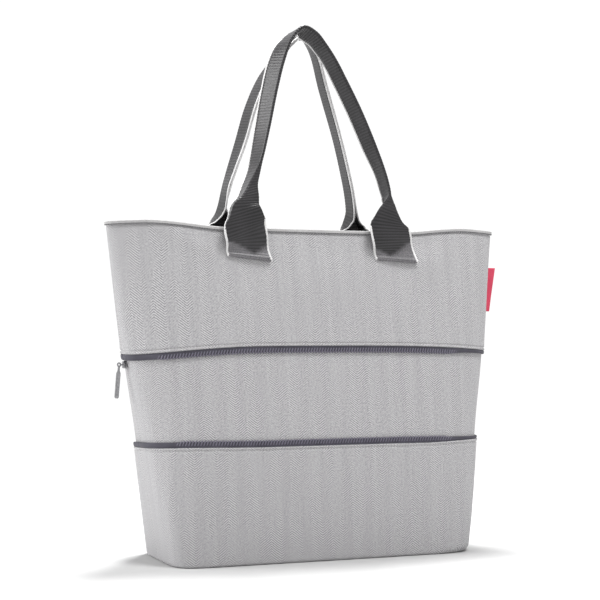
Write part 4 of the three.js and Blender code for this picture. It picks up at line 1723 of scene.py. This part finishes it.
def sink(margin: float, depth: float) -> None:
    """Insets the selected faces by a margin and sinks them by a depth, both in millimetres."""
    bpy.ops.mesh.inset(thickness=margin * MM)
    bpy.ops.mesh.extrude_region_shrink_fatten(TRANSFORM_OT_shrink_fatten={"value": -depth * MM})


def merge(pieces: Sequence[Piece]) -> Piece:
    """Joins pieces into the first of them.

    Args:
        pieces: The pieces.

    Returns:
        The first piece, with the others in it.
    """
    activate(pieces[0])
    for piece in pieces[1:]:
        piece.select_set(True)
    bpy.ops.object.join()
    return pieces[0]


@dataclass(frozen=True)
class ZipSlider(SubAssembly):
    """The die-cast slider at the left end of the upper zip, with its crown bar and stick pull."""

    inner: float = -217.4
    middle_level: float = 217.2
    length: float = 8.6
    height: float = 8.0
    thickness: float = 2.8
    nose: float = 2.2
    nose_steps: int = 4
    channel: float = 1.6
    channel_margin: float = 0.7
    boss: float = 0.35
    boss_margin: float = 1.1
    block_rounding: float = 0.3
    crown_span: float = 7.6
    crown_radius: float = 0.72
    crown_sides: int = 12
    crown_root: float = 0.5
    crown_reach: float = 4.4
    crown_bend: float = 1.6
    crown_bend_steps: int = 5
    eye_radius: float = 1.75
    eye_thickness: float = 0.88
    eye_sides: tuple[int, int] = (28, 10)
    pull_length: float = 37.0
    pull_width: float = 4.6
    pull_thickness: float = 2.4
    neck_width: float = 2.3
    neck_share: float = 0.8
    neck_drop: float = 6.0
    neck_flare: float = 3.5
    tip_length: float = 1.6
    # Length of each step of the pull's rounded end, and how its width and thickness narrow
    tip_steps: tuple[Place, ...] = ((1.2, 0.8, 0.85), (0.4, 0.6, 0.6))
    panel_from_tip: float = 4.0
    panel_from_neck: float = 6.0
    panel_margin: float = 0.75
    panel_depth: float = 0.3
    pull_rounding: float = 0.35
    tilt: float = 4.5
    # A face or an edge counts as lying along an axis from this share of it upwards
    square: float = 0.95
    rounding_steps: int = 3
    rounding_angle: float = 30.0
    smooth_angle: float = 40.0
    weld: float = 0.01

    @property
    def hinge(self) -> Place:
        """Middle of the crown bar, which the pull swings on."""
        return self.inner - self.thickness - self.crown_reach, 0.0, self.middle_level

    def soften(self, piece: Piece, width: float) -> None:
        """Rounds the sharp edges of a hard piece and shades it smooth.

        Args:
            piece: The piece.
            width: Width of the rounding.
        """
        activate(piece)
        bevel = piece.modifiers.new("rounding", "BEVEL")
        bevel.width, bevel.segments = width * MM, self.rounding_steps
        bevel.limit_method, bevel.angle_limit = "ANGLE", math.radians(self.rounding_angle)
        bpy.ops.object.modifier_apply(modifier=bevel.name)
        bpy.ops.object.shade_smooth_by_angle(angle=math.radians(self.smooth_angle))

    def build_block(self) -> Piece:
        """Builds the slider's block, with its rounded nose and the channels for the teeth.

        Returns:
            The block.
        """
        middle = (self.inner - self.thickness / 2, 0, self.middle_level)
        block = add_block("zip_slider_body", middle, (self.thickness, self.length, self.height))
        with editing(block):
            select_edges(block, lambda way: abs(way.x) > self.square)
            bpy.ops.mesh.bevel(offset=self.nose * MM, segments=self.nose_steps, affect="EDGES")
        with editing(block):
            select_faces(block, lambda at, normal: abs(normal.y) > self.square)
            sink(self.channel_margin, self.channel)
        with editing(block):
            select_faces(block, lambda at, normal: normal.x < -self.square)
            bpy.ops.mesh.inset(thickness=self.boss_margin * MM)
            push_out((-self.boss, 0, 0))
        self.soften(block, self.block_rounding)
        return block

    def build_crown(self) -> Piece:
        """Builds the crown: a bar that leaves the block, bends, spans it and comes back.

        Returns:
            The crown.
        """
        side = self.crown_span / 2 - self.crown_radius
        bend = self.crown_bend
        corner = self.hinge[0] + bend
        root = self.inner - self.thickness + self.crown_root
        bpy.ops.object.select_all(action="DESELECT")
        bpy.ops.mesh.primitive_circle_add(
            vertices=self.crown_sides, radius=self.crown_radius * MM, fill_type="NGON",
            location=(root * MM, -side * MM, self.middle_level * MM),
            rotation=(0, math.radians(-90), 0),
        )
        crown = apply_place()
        # Middle of each bend, and the straight stretch that follows it
        bends = (
            (-side + bend, (0, 2 * (side - bend), 0)),
            (side - bend, (root - corner, 0, 0)),
        )
        with editing(crown):
            select_faces(crown, lambda at, normal: True)
            push_out((corner - root, 0, 0))
            for middle, step in bends:
                bpy.ops.mesh.spin(
                    steps=self.crown_bend_steps, angle=math.radians(-90), axis=(0, 0, 1),
                    center=(corner * MM, middle * MM, self.middle_level * MM),
                )
                push_out(step)
            bpy.ops.mesh.select_all(action="SELECT")
            bpy.ops.mesh.remove_doubles(threshold=self.weld * MM)
            bpy.ops.mesh.normals_make_consistent(inside=False)
        bpy.ops.object.shade_smooth_by_angle(angle=math.radians(self.smooth_angle))
        return crown

    def build_eye(self) -> Piece:
        """Builds the pull's eye, a flat ring round the crown bar.

        Returns:
            The eye.
        """
        bpy.ops.object.select_all(action="DESELECT")
        bpy.ops.mesh.primitive_torus_add(
            major_radius=self.eye_radius * MM, minor_radius=self.eye_thickness * MM,
            major_segments=self.eye_sides[0], minor_segments=self.eye_sides[1],
            location=[c * MM for c in self.hinge], rotation=(math.radians(90), 0, 0),
        )
        flat = self.pull_thickness / 2 / self.eye_thickness * self.neck_share
        bpy.context.active_object.scale = (1, 1, flat)
        eye = apply_place()
        bpy.ops.object.shade_smooth()
        return eye

    def build_stick(self) -> Piece:
        """Builds the pull's neck and its flat stick, with a sunk panel and a rounded end.

        Returns:
            The stick.
        """
        x, y, z = self.hinge
        top, neck, tip = z - self.eye_radius, z - self.neck_drop, z - self.pull_length
        size = (self.neck_width, self.pull_thickness * self.neck_share, top - neck)
        stick = add_block("zip_pull_stick", (x, y, (top + neck) / 2), size)
        widen = (self.pull_width / self.neck_width, 1 / self.neck_share, 1)
        low, high = tip + self.panel_from_tip, neck - self.panel_from_neck
        with editing(stick):
            select_faces(stick, lambda at, normal: normal.z < -self.square)
            push_out((0, 0, -self.neck_flare))
            bpy.ops.transform.resize(value=widen)
            push_out((0, 0, tip + self.tip_length - (neck - self.neck_flare)))
            for length, width, thickness in self.tip_steps:
                push_out((0, 0, -length))
                bpy.ops.transform.resize(value=(width, thickness, 1))
        with editing(stick):
            select_faces(
                stick, lambda at, normal: abs(normal.y) > self.square and low < at.z < high
            )
            sink(self.panel_margin, self.panel_depth)
        self.soften(stick, self.pull_rounding)
        return stick

    def build_pull(self) -> Piece:
        """Builds the pull, which hangs a little tilted on the crown bar.

        Returns:
            The pull.
        """
        eye = self.build_eye()
        pull = merge([self.build_stick(), eye])
        with editing(pull):
            bpy.ops.mesh.select_all(action="SELECT")
            bpy.ops.transform.rotate(
                value=math.radians(-self.tilt), orient_axis="Y",
                center_override=[c * MM for c in self.hinge],
            )
        return pull

    def build(self) -> None:
        """Builds and dresses the slider and its pull."""
        slider = merge([self.build_block(), self.build_crown()])
        dress(slider, self.finishes.metal, Body.BAG, ["zip_slider"])
        dress(self.build_pull(), self.finishes.metal, Body.PULL, ["zip_pull"])


@dataclass(frozen=True)
class SideLabel(SubAssembly):
    """A blank ribbon, folded in two and sewn into the right side seam."""

    bottom: float = 282.0
    top: float = 329.5
    reach_bottom: float = 9.0
    reach_top: float = 11.4
    half_gap: float = 0.15
    ribbon: float = 0.45
    root: float = -0.4
    wave: float = 0.25
    wave_turns: float = 0.8
    rows: int = 40
    length_steps: int = 8
    fold_steps: int = 9
    stitch_reach: float = 1.8
    stitch_margin: float = 2.0
    stitch_points: int = 12
    stitches: Stitches = Stitches(length=2.2, pitch=3.2, radius=0.2)

    def seam(self, level: float) -> Array:
        """Returns the point of the side seam at a level."""
        return self.form.ring(level, GAP)[0][self.form.quarter_steps]

    def build_ribbon(self) -> None:
        """Builds and dresses the folded ribbon."""
        outer = self.half_gap + self.ribbon
        turn = np.radians(np.linspace(-90, 90, self.fold_steps))
        length = np.linspace(0, 1, self.length_steps)
        layers = []
        for level in np.linspace(self.bottom, self.top, self.rows):
            share = (level - self.bottom) / (self.top - self.bottom)
            reach = self.reach_bottom + (self.reach_top - self.reach_bottom) * share - outer
            outline = []
            for half, order in ((outer, 1), (self.half_gap, -1)):
                out = [(self.root + (reach - self.root) * s, -half) for s in length]
                fold = [(reach + half * math.cos(t), half * math.sin(t)) for t in turn]
                back = [(x, -y) for x, y in out[::-1]]
                outline += (out[:-1] + fold + back[1:])[::order]
            x, y = np.array(outline).T
            bow = self.wave * math.sin(TURN * share * self.wave_turns)
            seam = self.seam(level)
            sway = bow * (x / reach) ** 2
            layers.append(np.column_stack([seam[0] + x, y + sway, np.full(len(x), seam[2])]))
        points = np.stack(layers)
        faces = loft_faces(*points.shape[:2], False)
        label = make_mesh("blank_side_label", points, faces, points[..., [2, 0]])
        dress(label, self.finishes.ribbon, Body.BAG, ["side_label"])

    def build(self) -> None:
        """Builds and dresses the label and its stitches."""
        self.build_ribbon()
        ends = self.bottom + self.stitch_margin, self.top - self.stitch_margin
        seam = np.stack([self.seam(level) for level in np.linspace(*ends, self.stitch_points)])
        lines = []
        for hand in (-1, 1):
            line = seam + (self.stitch_reach, hand * (self.half_gap + self.ribbon), 0)
            lines.append((line, np.broadcast_to((0.0, float(hand), 0.0), line.shape), False))
        sewn = self.stitches.sew("label_stitches", lines)
        dress(sewn, self.finishes.ribbon, Body.BAG)


@dataclass(frozen=True)
class Softbox:
    """A square lamp: name, place and size in metres, and power in watts."""

    name: str
    place: Place
    size: float
    power: float


@dataclass(frozen=True)
class Studio:
    """Pale floor, soft light and the camera of the photograph.

    Places and sizes are in metres, the lens and its sensor in millimetres.
    """

    camera_place: Place = (-0.654, -1.619, 0.252)
    camera_turn: float = 22.0
    lens: float = 91.0
    sensor: float = 36.0
    shift: Pair = (-0.0153, 0.055)
    floor_size: float = 1.8
    floor_level: float = -0.0003
    # How steeply one looks up where the walls end and where the ceiling starts, as a sine, and how
    # bright each is
    wall_range: Pair = (0.22, 0.6)
    brightness: Pair = (1.05, 0.35)
    lamp_aim: Place = (0, 0, 0.25)
    lamps: tuple[Softbox, ...] = (
        Softbox("back_softbox", (0.3, 0.55, 2.5), 0.6, 100.0),
        Softbox("front_softbox", (0.4, -0.9, 2.3), 0.8, 42.0),
        Softbox("high_left_softbox", (-2.0, 0.68, 1.65), 0.7, 28.0),
        Softbox("low_left_softbox", (-2.3, 0.05, 0.65), 1.0, 18.0),
    )

    def build_floor(self) -> None:
        """Builds the floor, which isn't part of the bag."""
        bpy.ops.object.select_all(action="DESELECT")
        place = (0, 0, self.floor_level)
        bpy.ops.mesh.primitive_plane_add(size=self.floor_size, location=place)
        floor = apply_place()
        floor.name = "studio_floor"
        # Uncoated paper: flat and pale, it takes a soft shadow and no highlight
        floor.data.materials.append(BackgroundPaper().build())

    def build_room(self) -> None:
        """Sets white walls all round and a dimmer ceiling."""
        world = bpy.data.worlds.new("white_studio_walls")
        world.use_nodes = True
        way = add_node(world, "ShaderNodeTexCoord", {}).outputs["Generated"]
        height = add_node(world, "ShaderNodeSeparateXYZ", {}, (way,)).outputs[2]
        strength = add_node(world, MAP_RANGE, EASED, (height, *self.wall_range, *self.brightness))
        background = world.node_tree.nodes["Background"]
        fill_sockets(world, background, {"Color": (1, 1, 1, 1), "Strength": strength})
        bpy.context.scene.world = world

    def build_lamps(self) -> None:
        """Hangs the softboxes and aims them at the bag."""
        for softbox in self.lamps:
            lamp = bpy.data.lights.new(softbox.name, "AREA")
            lamp.energy, lamp.size = softbox.power, softbox.size
            stand = bpy.data.objects.new(softbox.name, lamp)
            stand.location = softbox.place
            aim = Vector(self.lamp_aim) - Vector(softbox.place)
            stand.rotation_euler = aim.to_track_quat("-Z", "Y").to_euler()
            bpy.context.scene.collection.objects.link(stand)

    def build_camera(self) -> None:
        """Makes the camera at the photograph's place and sets it as the scene's camera."""
        lens = bpy.data.cameras.new("photo_camera")
        lens.lens, lens.sensor_width, lens.sensor_fit = self.lens, self.sensor, "HORIZONTAL"
        lens.shift_x, lens.shift_y = self.shift
        camera = bpy.data.objects.new("photo_camera", lens)
        camera.location = self.camera_place
        camera.rotation_euler = (math.radians(90), 0, math.radians(-self.camera_turn))
        bpy.context.scene.collection.objects.link(camera)
        bpy.context.scene.camera = camera

    def build(self) -> None:
        """Builds the camera, the floor and the light."""
        self.build_camera()
        self.build_floor()
        bpy.context.scene.view_settings.view_transform = "Standard"
        self.build_room()
        self.build_lamps()


@dataclass(frozen=True)
class ShopperBag:
    """The whole bag, from its floor to its handles."""

    form: BagForm = field(default_factory=BagForm)
    finishes: Finishes = field(default_factory=Finishes)
    band_overlap: float = 5.0
    band_inset: float = WALL + 0.8
    upper_label_turn: float = 2.4

    def build(self) -> None:
        """Builds every sub-assembly in order."""
        shared = {"form": self.form, "finishes": self.finishes}
        band = (LOWER_SEAM - self.band_overlap, UPPER_SEAM + self.band_overlap)
        plain = {"offset": -self.band_inset, **shared}
        assemblies = (
            BasePanel(**shared),
            ClothWall("lower_wall", "lower_body", 0.0, LOWER_SEAM, Edge.HEM, Edge.FOLD, **shared),
            ClothWall("expansion_band", "middle_band", *band, Edge.PLAIN, Edge.PLAIN, **plain),
            ClothWall(
                "upper_wall", "upper_body", UPPER_SEAM, RIM_LEVEL, Edge.FOLD, Edge.BOUND, **shared
            ),
            RimBinding(**shared),
            ZipHalf("lower", LOWER_SEAM, 1, **shared),
            ZipHalf("upper", UPPER_SEAM, -1, label_turn=self.upper_label_turn, **shared),
            ZipSlider(**shared),
            WebbingHandle("front_handle", Side.FRONT, FRONT_ROUTE, **shared),
            WebbingHandle("back_handle", Side.BACK, BACK_ROUTE, **shared),
            SideLabel(**shared),
        )
        for assembly in assemblies:
            assembly.build()


def main() -> None:
    """Loads the frame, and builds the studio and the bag."""
    logging.basicConfig(level=logging.INFO, format="%(name)s: %(message)s")
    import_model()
    Studio().build()
    ShopperBag().build()


if __name__ == "__main__":
    main()
